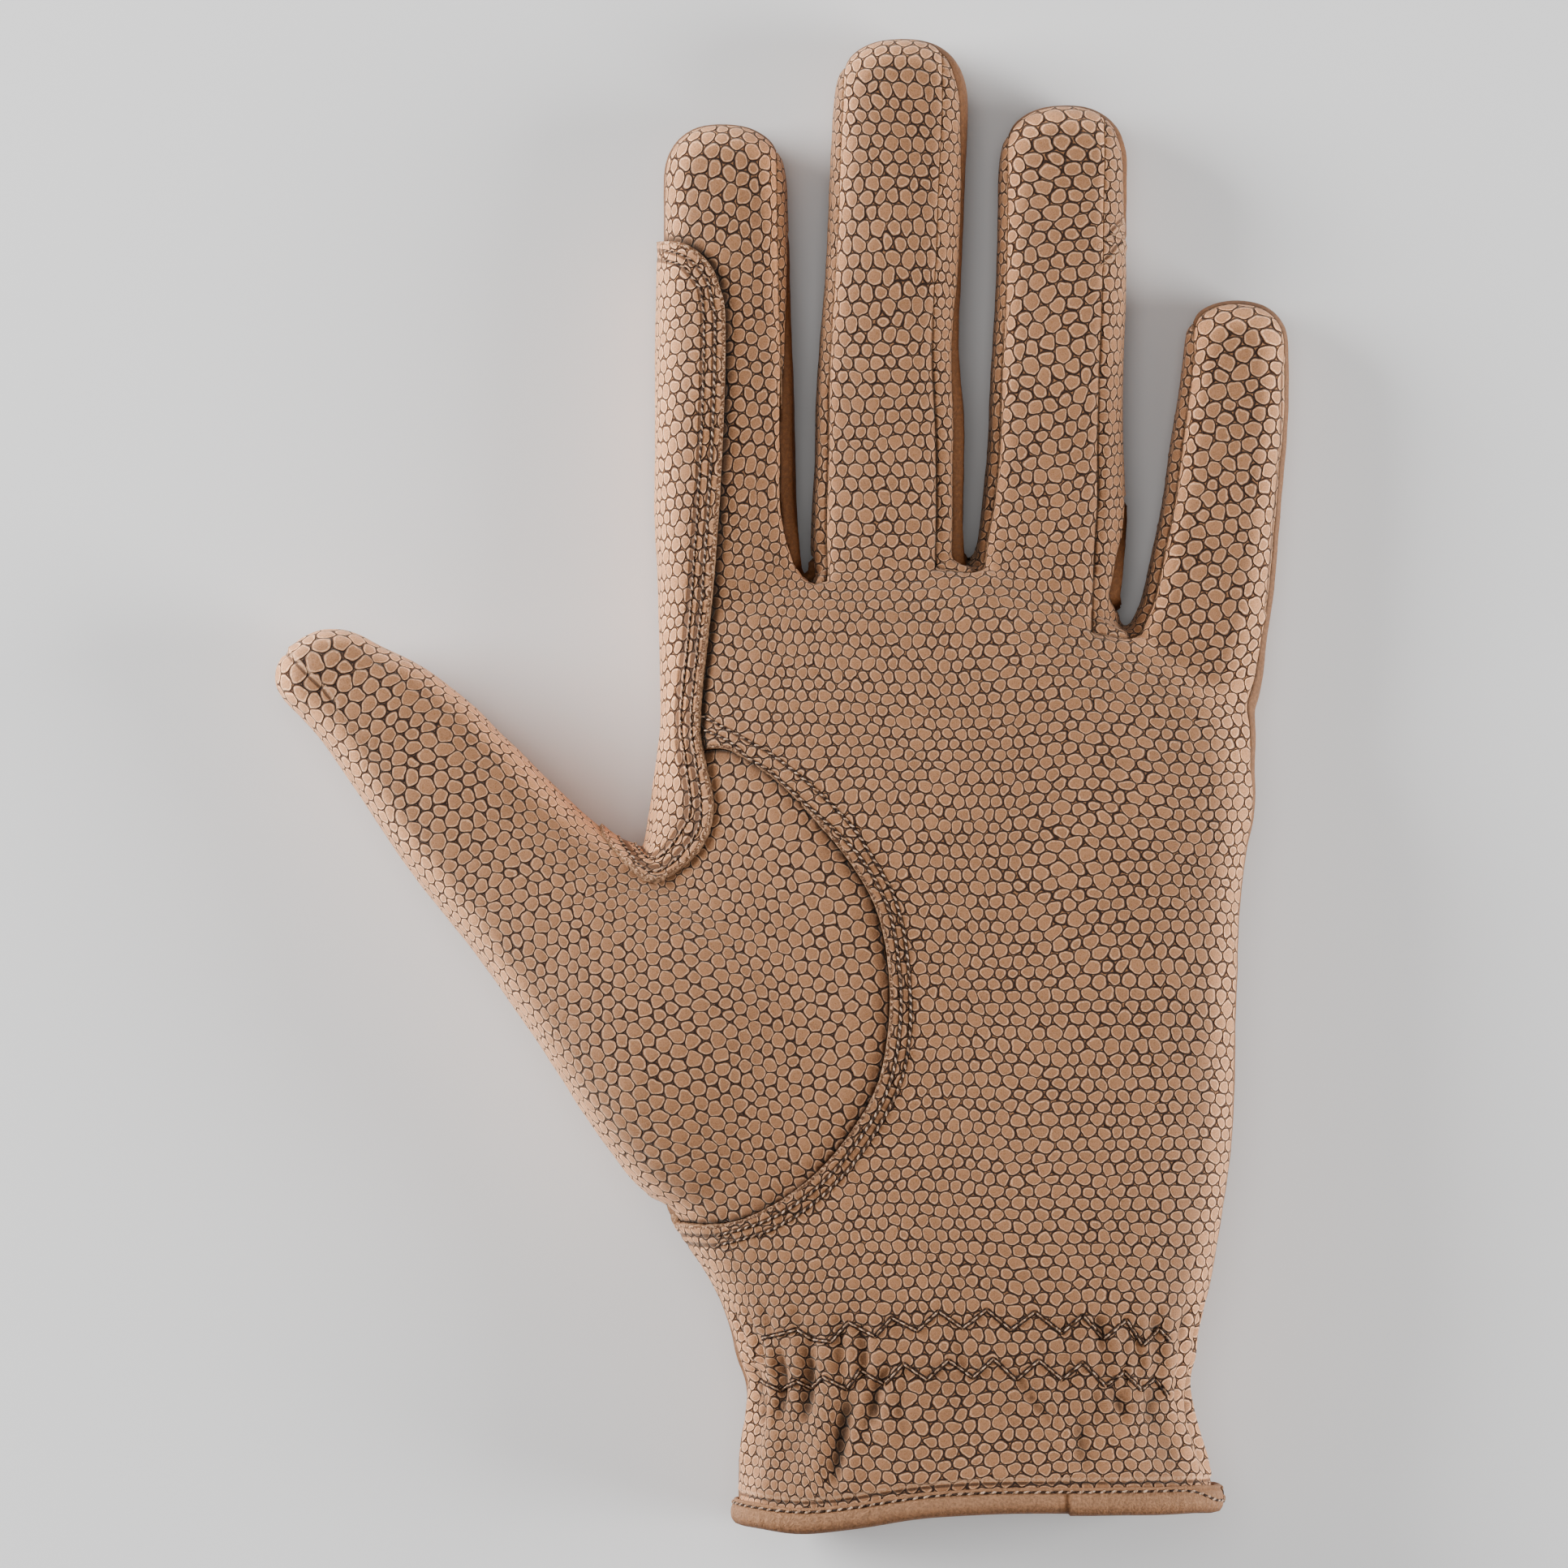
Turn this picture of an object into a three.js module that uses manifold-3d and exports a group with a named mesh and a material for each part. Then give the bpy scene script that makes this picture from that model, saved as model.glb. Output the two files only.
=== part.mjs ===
// A left-hand riding glove of thin synthetic leather, lying on its back with the palm up.
// Units are millimetres. +Z points up out of the palm, +Y runs from the cuff to the
// fingertips and +X from the thumb to the little finger. The origin is under the middle
// of the glove, on the surface that it lies on.
//
// The hand, the four fingers and the thumb are lofts. Their union, less the same lofts
// drawn in by one wall, is the hollow skin, and the seams cut it into the panels that
// the glove is sewn from.

import * as THREE from "three";
import { mergeVertices } from "three/addons/utils/BufferGeometryUtils.js";
import Module from "manifold-3d";

const wasm = await Module();
wasm.setup();

// Leather and seams
const wall = 1.2;
const seamGap = 0.3;
const patchThickness = 1.0;
const patchGap = 0.3;
const patchFloor = 3;
const bindingThickness = 0.9;
const bindingGap = 0.3;
const bindingHeight = 3.6;
const bindingLapRise = 0.4;
const bindingLapLength = 12;
const bindingLapAt = 0.472;

// The hand, from the hem to the line of the finger crotches
const palmBreadth = 92;
const palmLength = 125;
const palmDepth = 31;
const wristBreadth = 67.5;
const wristDepth = 34;
const cuffLength = 18.8;
const hemDip = 3.2;
const wristY = -91.75;

// The hollow of the palm
const palmHollow = 2.2;

// Gathers that run round the wrist
const gatherCount = 8;
const gatherDepth = 0.7;
const gatherReach = 10;

// The leather is pressed flat where it rests
const restFlat = 1.6;

// Fingers: length from the crotch line to the tip, breadth and depth at the middle
const indexLength = 68.6;
const indexBreadth = 21;
const indexDepth = 18;
const middleLength = 82;
const middleBreadth = 21.6;
const middleDepth = 18.6;
const ringLength = 76;
const ringBreadth = 20.6;
const ringDepth = 17.6;
const littleLength = 51.25;
const littleBreadth = 18;
const littleDepth = 15.4;

// Height of the seam between a gusset and the back, as a share of the finger's depth
const gussetFloor = 0.26;

// How far the point of a gusset reaches below its crotch
const gussetNotch = 2;

// Thumb: length and direction of its axis, breadth and depth at the middle
const thumbLength = 108;
const thumbBreadth = 25;
const thumbDepth = 22;
const thumbTurn = THREE.MathUtils.degToRad(132);
const thumbLift = 6;
const thumbRootX = -29.3;
const thumbRootY = -25.9;

// Roundness of a section through the hand or a finger, and of a fingertip
const sectionPower = 2.4;
const tipPower = 2.35;

// Mesh fineness, outside and in the hollow
const handSides = 32;
const handHollowSides = 26;
const fingerSides = 16;
const fingerHollowSides = 12;
const thumbSides = 18;
const thumbHollowSides = 14;
const capAngles = [32, 60, 82];

const webY = wristY + palmLength;
const hemY = wristY - cuffLength;

// Heights that clear the glove from below and above, and how far its hollow runs out
// through the mouth of the cuff
const farBelow = -palmDepth;
const farAbove = 3 * palmDepth;
const pastMouth = 0.5 * cuffLength;

// Rows of the cuff. along: share of cuffLength from the wrist to the hem. centre:
// share of palmBreadth. half: share of wristBreadth. depth: share of wristDepth.
const cuffRows = [
  { along: 1.0, centre: 0.321, half: 0.538, depth: 0.99 },
  { along: 0.8, centre: 0.319, half: 0.537, depth: 0.99 },
  { along: 0.5, centre: 0.309, half: 0.527, depth: 0.98 },
  { along: 0.25, centre: 0.307, half: 0.508, depth: 0.97 },
  { along: 0.0, centre: 0.308, half: 0.5, depth: 0.96 },
];

// Rows of the palm. along: share of palmLength from the wrist to the crotch line.
// centre and half: shares of palmBreadth. depth: share of palmDepth.
const palmRows = [
  { along: 0.05, centre: 0.303, half: 0.384, depth: 1.06 },
  { along: 0.12, centre: 0.295, half: 0.417, depth: 1.08 },
  { along: 0.18, centre: 0.279, half: 0.448, depth: 1.08 },
  { along: 0.25, centre: 0.263, half: 0.478, depth: 1.07 },
  { along: 0.35, centre: 0.249, half: 0.505, depth: 1.05 },
  { along: 0.46, centre: 0.244, half: 0.512, depth: 1.03 },
  { along: 0.58, centre: 0.257, half: 0.506, depth: 1.0 },
  { along: 0.68, centre: 0.279, half: 0.495, depth: 0.96 },
  { along: 0.78, centre: 0.295, half: 0.493, depth: 0.9 },
  { along: 0.88, centre: 0.296, half: 0.491, depth: 0.82 },
  { along: 0.96, centre: 0.295, half: 0.494, depth: 0.71 },
  { along: 1.0, centre: 0.294, half: 0.49, depth: 0.6 },
];

// The end of the palm, between the fingers. x: share of palmBreadth. rise: share of
// palmLength above the crotch line.
const webLine = [
  { x: -0.25, rise: 0 },
  { x: 0.05, rise: -0.01 },
  { x: 0.3, rise: 0.004 },
  { x: 0.44, rise: -0.03 },
  { x: 0.572, rise: -0.078 },
  { x: 0.82, rise: -0.16 },
];

// Fingers. crotch: share of palmLength from the crotch line of the index. tipCap:
// share of the length that the rounded tip takes. tipCentre: share of palmBreadth.
// seamLeft and seamRight: where the seams run up the front, as shares of half.
// Rows: along, share of the length, below 0 inside the palm; centre, share of
// palmBreadth; half, share of the breadth; depth, share of the depth.
const fingers = {
  index: {
    length: indexLength, breadth: indexBreadth, depth: indexDepth,
    crotch: 0, tipCentre: -0.102, tipCap: 0.145, seamLeft: 0.84, seamRight: 0.84,
    rows: [
      { along: -0.32, centre: -0.06, half: 0.36, depth: 0.9 },
      { along: -0.15, centre: -0.079, half: 0.5, depth: 1.02 },
      { along: 0.0, centre: -0.077, half: 0.543, depth: 1.06 },
      { along: 0.06, centre: -0.086, half: 0.513, depth: 1.05 },
      { along: 0.26, centre: -0.093, half: 0.497, depth: 1.02 },
      { along: 0.48, centre: -0.095, half: 0.475, depth: 1.0 },
      { along: 0.7, centre: -0.097, half: 0.464, depth: 0.95 },
      { along: 0.855, centre: -0.099, half: 0.456, depth: 0.9 },
    ],
  },
  middle: {
    length: middleLength, breadth: middleBreadth, depth: middleDepth,
    crotch: 0, tipCentre: 0.196, tipCap: 0.128, seamLeft: 0.86, seamRight: 0.62,
    rows: [
      { along: -0.22, centre: 0.175, half: 0.42, depth: 0.95 },
      { along: 0.0, centre: 0.177, half: 0.538, depth: 1.04 },
      { along: 0.21, centre: 0.178, half: 0.544, depth: 1.03 },
      { along: 0.4, centre: 0.177, half: 0.503, depth: 1.0 },
      { along: 0.58, centre: 0.184, half: 0.486, depth: 0.98 },
      { along: 0.76, centre: 0.191, half: 0.483, depth: 0.94 },
      { along: 0.872, centre: 0.196, half: 0.483, depth: 0.9 },
    ],
  },
  ring: {
    length: ringLength, breadth: ringBreadth, depth: ringDepth,
    crotch: -0.035, tipCentre: 0.471, tipCap: 0.137, seamLeft: 0.86, seamRight: 0.64,
    rows: [
      { along: -0.2, centre: 0.45, half: 0.42, depth: 0.95 },
      { along: 0.0, centre: 0.439, half: 0.566, depth: 1.04 },
      { along: 0.09, centre: 0.441, half: 0.566, depth: 1.03 },
      { along: 0.19, centre: 0.45, half: 0.543, depth: 1.02 },
      { along: 0.3, centre: 0.455, half: 0.512, depth: 1.0 },
      { along: 0.49, centre: 0.459, half: 0.498, depth: 0.98 },
      { along: 0.68, centre: 0.465, half: 0.486, depth: 0.95 },
      { along: 0.863, centre: 0.468, half: 0.481, depth: 0.9 },
    ],
  },
  little: {
    length: littleLength, breadth: littleBreadth, depth: littleDepth,
    crotch: -0.078, tipCentre: 0.761, tipCap: 0.155, seamLeft: 0.84, seamRight: 0.84,
    rows: [
      { along: -0.45, centre: 0.65, half: 0.38, depth: 0.95 },
      { along: -0.2, centre: 0.686, half: 0.57, depth: 1.05 },
      { along: 0.0, centre: 0.693, half: 0.608, depth: 1.08 },
      { along: 0.09, centre: 0.707, half: 0.567, depth: 1.05 },
      { along: 0.24, centre: 0.722, half: 0.534, depth: 1.02 },
      { along: 0.385, centre: 0.735, half: 0.51, depth: 1.0 },
      { along: 0.53, centre: 0.744, half: 0.501, depth: 0.98 },
      { along: 0.68, centre: 0.752, half: 0.482, depth: 0.95 },
      { along: 0.845, centre: 0.758, half: 0.452, depth: 0.9 },
    ],
  },
};

// Rows of the thumb. along: share of thumbLength from its root, below 0 in the mound
// of the palm. side: share of thumbBreadth towards the wrist. half: share of
// thumbBreadth. depth: share of thumbDepth. lift: share of thumbLift.
const thumbRows = [
  { along: -0.4, side: 0.2, half: 0.3, depth: 1.0, lift: 0 },
  { along: -0.36, side: 0.14, half: 0.52, depth: 1.36, lift: 0 },
  { along: -0.3, side: 0.07, half: 0.69, depth: 1.5, lift: 0 },
  { along: -0.22, side: -0.04, half: 0.78, depth: 1.58, lift: 0 },
  { along: -0.11, side: -0.08, half: 0.75, depth: 1.53, lift: 0.05 },
  { along: 0.0, side: -0.05, half: 0.655, depth: 1.36, lift: 0.12 },
  { along: 0.12, side: -0.005, half: 0.548, depth: 1.16, lift: 0.25 },
  { along: 0.21, side: 0.008, half: 0.515, depth: 1.04, lift: 0.37 },
  { along: 0.3, side: 0.002, half: 0.488, depth: 0.95, lift: 0.5 },
  { along: 0.4, side: -0.018, half: 0.438, depth: 0.86, lift: 0.66 },
  { along: 0.49, side: 0.005, half: 0.366, depth: 0.77, lift: 0.82 },
  { along: 0.535, side: 0.05, half: 0.325, depth: 0.7, lift: 0.92 },
];
const thumbTip = { along: 0.614, side: 0.125 };

// Seam between the front and the back, at the sides. along: share of palmLength from
// the wrist. height: share of palmDepth.
const sideSeam = [
  { along: -0.4, height: 0.54 },
  { along: 0.0, height: 0.54 },
  { along: 0.4, height: 0.54 },
  { along: 0.75, height: 0.46 },
  { along: 0.97, height: 0.32 },
  { along: 1.1, height: 0.3 },
  { along: 1.8, height: 0.28 },
];

// Seams of the thumb piece on the palm and on the back, and the outline of the grip
// patch. x: share of palmBreadth. y: share of palmLength from the wrist.
const thumbSeamFront = [
  { x: -0.26, y: 0.735 },
  { x: -0.18, y: 0.765 },
  { x: -0.105, y: 0.777 },
  { x: -0.048, y: 0.758 },
  { x: 0.019, y: 0.718 },
  { x: 0.069, y: 0.675 },
  { x: 0.115, y: 0.632 },
  { x: 0.152, y: 0.583 },
  { x: 0.171, y: 0.522 },
  { x: 0.175, y: 0.45 },
  { x: 0.156, y: 0.368 },
  { x: 0.107, y: 0.304 },
  { x: 0.045, y: 0.252 },
  { x: -0.03, y: 0.214 },
  { x: -0.114, y: 0.194 },
  { x: -0.24, y: 0.2 },
];
const thumbSeamBack = [
  { x: -0.26, y: 0.735 },
  { x: -0.17, y: 0.66 },
  { x: -0.125, y: 0.52 },
  { x: -0.115, y: 0.38 },
  { x: -0.15, y: 0.26 },
  { x: -0.24, y: 0.2 },
];
const thumbBeyond = [
  { x: -1.1, y: 0.2 },
  { x: -1.1, y: 1.1 },
  { x: -0.5, y: 1.1 },
];
const patchEdge = [
  { x: -0.215, y: 1.403 },
  { x: -0.166, y: 1.4 },
  { x: -0.128, y: 1.378 },
  { x: -0.108, y: 1.347 },
  { x: -0.098, y: 1.3 },
  { x: -0.103, y: 1.14 },
  { x: -0.12, y: 0.95 },
  { x: -0.137, y: 0.82 },
  { x: -0.128, y: 0.765 },
  { x: -0.115, y: 0.705 },
  { x: -0.133, y: 0.657 },
  { x: -0.182, y: 0.622 },
  { x: -0.225, y: 0.611 },
  { x: -0.266, y: 0.636 },
  { x: -0.304, y: 0.672 },
];
const patchBeyond = [
  { x: -0.35, y: 0.71 },
  { x: -0.3, y: 0.8 },
  { x: -0.26, y: 1.0 },
  { x: -0.26, y: 1.403 },
];

// Builds a solid from a geometry, once its shared corners are merged.
function solid(geometry) {
  const bare = geometry.index ? geometry.toNonIndexed() : geometry.clone();
  bare.deleteAttribute("normal");
  bare.deleteAttribute("uv");
  const merged = mergeVertices(bare, 1e-4);
  const vertProperties = new Float32Array(merged.attributes.position.array);
  const triVerts = new Uint32Array(merged.index.array);
  return new wasm.Manifold(new wasm.Mesh({ numProp: 3, vertProperties, triVerts }));
}

// Skins a row of rings. Each ring has the same even number of points, and point j
// faces point -j across the section, so that the ends close in strips.
function loft(rings) {
  const sides = rings[0].length;
  const positions = rings.flat().flatMap((point) => [point.x, point.y, point.z]);
  const index = [];
  const face = (a, b, c) => index.push(a, b, c);
  for (let i = 0; i < rings.length - 1; i += 1) {
    for (let j = 0; j < sides; j += 1) {
      const a = i * sides + j;
      const b = i * sides + ((j + 1) % sides);
      face(a, a + sides, b);
      face(b, a + sides, b + sides);
    }
  }
  const last = (rings.length - 1) * sides;
  for (let j = 0; j < sides / 2; j += 1) {
    const far = (sides - j) % sides;
    const next = sides - j - 1;
    if (j > 0) {
      face(j, j + 1, far);
      face(last + j, last + far, last + j + 1);
    }
    if (j + 1 < sides / 2) {
      face(j + 1, next, far);
      face(last + j + 1, last + far, last + next);
    }
  }
  const geometry = new THREE.BufferGeometry();
  geometry.setAttribute("position", new THREE.Float32BufferAttribute(positions, 3));
  geometry.setIndex(index);
  return solid(geometry);
}

// The cuff's skin stands off the rest by the binding that is folded round its hem.
function floorAt(y) {
  const atHem = THREE.MathUtils.smoothstep(wristY - y, 0.4 * cuffLength, 0.8 * cuffLength);
  return (bindingGap + bindingThickness) * atHem;
}

const bulge = (value, power) => Math.sign(value) * Math.abs(value) ** (2 / power);

// Points of one section as offsets across it and heights above the rest. share, below
// 1 in a rounded tip, draws the section in about its own middle.
function section({ half, depth, lift = 0, share = 1 }, sides, grow) {
  const points = [];
  const middle = lift + (depth - restFlat) / 2;
  for (let j = 0; j < sides; j += 1) {
    const turn = (j / sides) * Math.PI * 2;
    const across = (half + grow) * share * bulge(Math.cos(turn), sectionPower);
    const rise = ((depth + restFlat) / 2 + grow) * share * bulge(Math.sin(turn), sectionPower);
    points.push({ across, z: Math.max(middle + rise, -grow), upper: Math.sin(turn) });
  }
  return points;
}

// Rows that round off the end of a finger between its last row and its tip.
function capRows(last, tip, reach) {
  return capAngles.map((degrees) => {
    const angle = THREE.MathUtils.degToRad(degrees);
    const out = bulge(Math.sin(angle), tipPower);
    return {
      ...last,
      along: last.along + reach * out,
      centre: THREE.MathUtils.lerp(last.centre, tip, out),
      share: bulge(Math.cos(angle), tipPower),
    };
  });
}

const handRows = [
  ...cuffRows.map((row) => ({
    y: wristY - row.along * cuffLength,
    centre: row.centre * palmBreadth,
    half: row.half * wristBreadth,
    depth: row.depth * wristDepth,
  })),
  ...palmRows.map((row) => ({
    y: wristY + row.along * palmLength,
    centre: row.centre * palmBreadth,
    half: row.half * palmBreadth,
    depth: row.depth * palmDepth,
  })),
];

// A table's value between its rows.
function valueAt(table, by, key, at) {
  const last = table.length - 1;
  const found = table.findIndex((row, i) => i < last && at < table[i + 1][by]);
  const i = found < 0 ? last - 1 : found;
  const share = (at - table[i][by]) / (table[i + 1][by] - table[i][by]);
  return THREE.MathUtils.lerp(table[i][key], table[i + 1][key], THREE.MathUtils.clamp(share, 0, 1));
}

// The hand's row at any height, between the rows of the table.
function handRowAt(y) {
  const mix = (key) => valueAt(handRows, "y", key, y);
  return { y, centre: mix("centre"), half: mix("half"), depth: mix("depth") };
}

// How far the rows sway along Y: down at the thumb side of the hem, and away towards
// the little finger at the end of the palm.
function sway(x, y) {
  const dip = hemDip * Math.exp(-(((x - 0.03 * palmBreadth) / (0.17 * palmBreadth)) ** 2));
  const atHem = THREE.MathUtils.smoothstep(wristY - y, 0, 0.8 * cuffLength);
  const atWeb = THREE.MathUtils.smoothstep(y, webY - 0.45 * palmLength, webY);
  return valueAt(webLine, "x", "rise", x / palmBreadth) * palmLength * atWeb - dip * atHem;
}

// How far the surface lies in from the smooth section: gathers round the wrist. The
// hollow keeps clear of all of them.
function gather(turn, y, grow) {
  const near = Math.exp(-(((y - wristY - 0.03 * palmLength) / gatherReach) ** 2));
  const wave = grow < 0 ? 1 : 0.5 - 0.5 * Math.cos(gatherCount * turn);
  return gatherDepth * near * wave;
}

function hollowAt(x, y) {
  const u = (x - 0.4 * palmBreadth) / (0.26 * palmBreadth);
  const v = (y - wristY - 0.52 * palmLength) / (0.24 * palmLength);
  return palmHollow * Math.exp(-u * u - v * v);
}

function handRing(row, grow, shift = 0) {
  const sides = grow < 0 ? handHollowSides : handSides;
  return section(row, sides, grow).map(({ across, z, upper }, j) => {
    const turn = (j / sides) * Math.PI * 2;
    const drawn = 1 - gather(turn, row.y, grow) / row.half;
    const x = row.centre + across * drawn;
    const middle = (row.depth - restFlat) / 2;
    const lowered = upper > 0 ? upper * hollowAt(x, row.y) : 0;
    const height = Math.max(middle + (z - middle) * drawn - lowered, floorAt(row.y) - grow);
    return new THREE.Vector3(x, row.y + shift + sway(x, row.y), height);
  });
}

// past lets the hollow run out through the mouth of the cuff.
function hand(grow, past) {
  const rings = handRows.map((row, i) => {
    const shift = i === handRows.length - 1 ? grow : 0;
    return handRing(row, grow, shift);
  });
  if (past > 0) rings.unshift(handRing(handRows[0], grow, -past));
  return loft(rings);
}

function finger({ length, breadth, depth, crotch, tipCentre, tipCap, rows }, grow) {
  const cap = capRows(rows.at(-1), tipCentre, tipCap + grow / length);
  const base = webY + crotch * palmLength;
  const sides = grow < 0 ? fingerHollowSides : fingerSides;
  const rings = [...rows, ...cap].map((row) => {
    const sized = { half: row.half * breadth, depth: row.depth * depth, share: row.share };
    const y = base + row.along * length;
    return section(sized, sides, grow).map(
      ({ across, z }) => new THREE.Vector3(row.centre * palmBreadth + across, y, z),
    );
  });
  return loft(rings);
}

function thumb(grow) {
  const rows = thumbRows.map((row) => ({ ...row, centre: row.side }));
  const reach = thumbTip.along - rows.at(-1).along + grow / thumbLength;
  const cap = capRows(rows.at(-1), thumbTip.side, reach);
  const axis = new THREE.Vector3(Math.cos(thumbTurn), Math.sin(thumbTurn), 0);
  const right = new THREE.Vector3(axis.y, -axis.x, 0);
  const sides = grow < 0 ? thumbHollowSides : thumbSides;
  const rings = [...rows, ...cap].map((row) => {
    const sized = {
      half: row.half * thumbBreadth,
      depth: row.depth * thumbDepth,
      lift: row.lift * thumbLift,
      share: row.share,
    };
    return section(sized, sides, grow).map(({ across, z }) =>
      new THREE.Vector3(thumbRootX, thumbRootY, z)
        .addScaledVector(axis, row.along * thumbLength)
        .addScaledVector(right, across - row.centre * thumbBreadth),
    );
  });
  return loft(rings);
}

// The whole glove, grown by so much on every side, and past the mouth if asked.
function body(grow, past = 0) {
  const parts = Object.values(fingers).map((one) => finger(one, grow));
  return parts.reduce((sum, one) => sum.add(one), hand(grow, past).add(thumb(grow)));
}

const toPlan = ({ x, y }) => new THREE.Vector2(x * palmBreadth, wristY + y * palmLength);

// A smooth line through the points of a seam.
function seamLine(points, steps) {
  return new THREE.SplineCurve(points.map(toPlan)).getPoints(steps);
}

// Moves an outline's corners out by the same distance from each of its two edges.
function growOutline(points, distance) {
  const turnsLeft = THREE.ShapeUtils.area(points) > 0 ? 1 : -1;
  return points.map((point, i) => {
    const before = points.at(i - 1);
    const after = points[(i + 1) % points.length];
    const a = point.clone().sub(before).normalize();
    const b = after.clone().sub(point).normalize();
    const out = new THREE.Vector2(a.y + b.y, -a.x - b.x);
    return point.clone().addScaledVector(out, (turnsLeft * distance) / (1 + a.dot(b)));
  });
}

// A solid that stands on an outline in plan.
function prism(outline, low = farBelow, high = farAbove) {
  const options = { depth: high - low, bevelEnabled: false };
  const geometry = new THREE.ExtrudeGeometry(new THREE.Shape(outline), options);
  return solid(geometry.translate(0, 0, low));
}

// All that lies above the side seam, which is raised by so much.
function aboveSideSeam(raise) {
  const line = sideSeam.map(
    (row) => new THREE.Vector2(wristY + row.along * palmLength, row.height * palmDepth + raise),
  );
  const top = [line.at(-1).x, line[0].x].map((y) => new THREE.Vector2(y, farAbove));
  const reach = 2 * palmBreadth;
  const options = { depth: 2 * reach, bevelEnabled: false };
  const geometry = new THREE.ExtrudeGeometry(new THREE.Shape([...line, ...top]), options);
  geometry.translate(0, 0, -reach);
  const turned = new THREE.Matrix4().makeBasis(
    new THREE.Vector3(0, 1, 0),
    new THREE.Vector3(0, 0, 1),
    new THREE.Vector3(1, 0, 0),
  );
  return solid(geometry.applyMatrix4(turned));
}

// The seam up one side of a finger, from its crotch to past its tip. side is -1 for
// the side towards the thumb.
function fingerSeam({ length, breadth, crotch, rows }, side, share, crotchY) {
  const base = webY + crotch * palmLength;
  const line = rows
    .map((row) => {
      const x = row.centre * palmBreadth + side * share * row.half * breadth;
      return new THREE.Vector2(x, base + row.along * length);
    })
    .filter((point) => point.y > crotchY - 0.5 * gussetNotch);
  return [...line, new THREE.Vector2(line.at(-1).x, base + 1.1 * length)];
}

// Where the edge of a finger meets its crotch line.
function fingerEdge({ breadth, rows }, side) {
  const root = rows.find((row) => row.along === 0);
  return root.centre * palmBreadth + side * root.half * breadth;
}

// Plan of the gusset between two fingers. It starts in a point under their crotch.
function gussetOutline(left, right) {
  const x = (fingerEdge(left, 1) + fingerEdge(right, -1)) / 2;
  const y = webY + valueAt(webLine, "x", "rise", x / palmBreadth) * palmLength;
  const up = fingerSeam(left, 1, left.seamRight, y);
  const down = fingerSeam(right, -1, right.seamLeft, y);
  return [new THREE.Vector2(x, y - gussetNotch), ...down, ...up.reverse()];
}

// The body of a solid that holds the most, without crumbs that a cut may leave.
function largest(made) {
  return made.decompose().sort((a, b) => b.volume() - a.volume())[0];
}

const skin = body(0).subtract(body(-wall, pastMouth));
const front = aboveSideSeam(0);
const frontAndGap = aboveSideSeam(-seamGap);

const thumbFrontOutline = [...seamLine(thumbSeamFront, 28), ...thumbBeyond.map(toPlan)];
const thumbBackOutline = [...seamLine(thumbSeamBack, 12), ...thumbBeyond.map(toPlan)];
const thumbFront = prism(thumbFrontOutline);
const thumbBack = prism(thumbBackOutline);
const thumbRegion = thumbFront
  .intersect(front)
  .add(thumbBack.subtract(frontAndGap))
  .add(thumbFront.intersect(thumbBack));

const gussetPairs = {
  gusset_index_middle: [fingers.index, fingers.middle],
  gusset_middle_ring: [fingers.middle, fingers.ring],
  gusset_ring_little: [fingers.ring, fingers.little],
};
const gussets = Object.entries(gussetPairs).map(([name, [left, right]]) => {
  const outline = gussetOutline(left, right);
  const low = gussetFloor * Math.min(left.depth, right.depth);
  return {
    name,
    region: prism(outline, low),
    cut: prism(growOutline(outline, seamGap), low - seamGap),
  };
});
const gussetCuts = gussets.map((one) => one.cut).reduce((sum, one) => sum.add(one));

const palmPanel = skin
  .intersect(front)
  .subtract(prism(growOutline(thumbFrontOutline, seamGap)))
  .subtract(gussetCuts);
const backPanel = skin
  .subtract(frontAndGap)
  .subtract(prism(growOutline(thumbBackOutline, seamGap)))
  .subtract(gussetCuts);

const patchOutline = [...seamLine(patchEdge, 28), ...patchBeyond.map(toPlan)];
const indexPatch = body(patchGap + patchThickness)
  .subtract(body(patchGap))
  .intersect(prism(patchOutline, patchFloor));

// A band of the cuff with rows at these steps above the hem, grown by so much.
function cuffBand(grow, steps) {
  return loft(steps.map((step) => handRing(handRowAt(hemY + step), grow)));
}

// Binding folded round the hem, with one end lapped over the other on the palm side.
function bindingSolid() {
  const deep = wall + bindingGap;
  const out = bindingGap + bindingThickness;
  const lapOut = out + bindingLapRise;
  const lapFrom = bindingLapAt * palmBreadth;
  const lapBox = prism(
    [
      new THREE.Vector2(lapFrom, hemY - cuffLength),
      new THREE.Vector2(lapFrom + bindingLapLength, hemY - cuffLength),
      new THREE.Vector2(lapFrom + bindingLapLength, hemY + cuffLength),
      new THREE.Vector2(lapFrom, hemY + cuffLength),
    ],
    0.5 * wristDepth,
  );
  const row = 0.2 * cuffLength;
  const past = 0.5 * cuffLength;
  const outer = cuffBand(out, [-out, 0, bindingHeight]);
  const lap = cuffBand(lapOut, [-lapOut, 0, bindingHeight + bindingLapRise]).intersect(lapBox);
  const mouth = cuffBand(-deep - bindingThickness, [-pastMouth, 0, row, past]);
  const slot = cuffBand(bindingGap, [-bindingGap, 0, row, past]).subtract(
    cuffBand(-deep, [-2 * pastMouth, 0, row, past, 0.75 * cuffLength]),
  );
  return outer.add(lap).subtract(mouth).subtract(slot);
}

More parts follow.
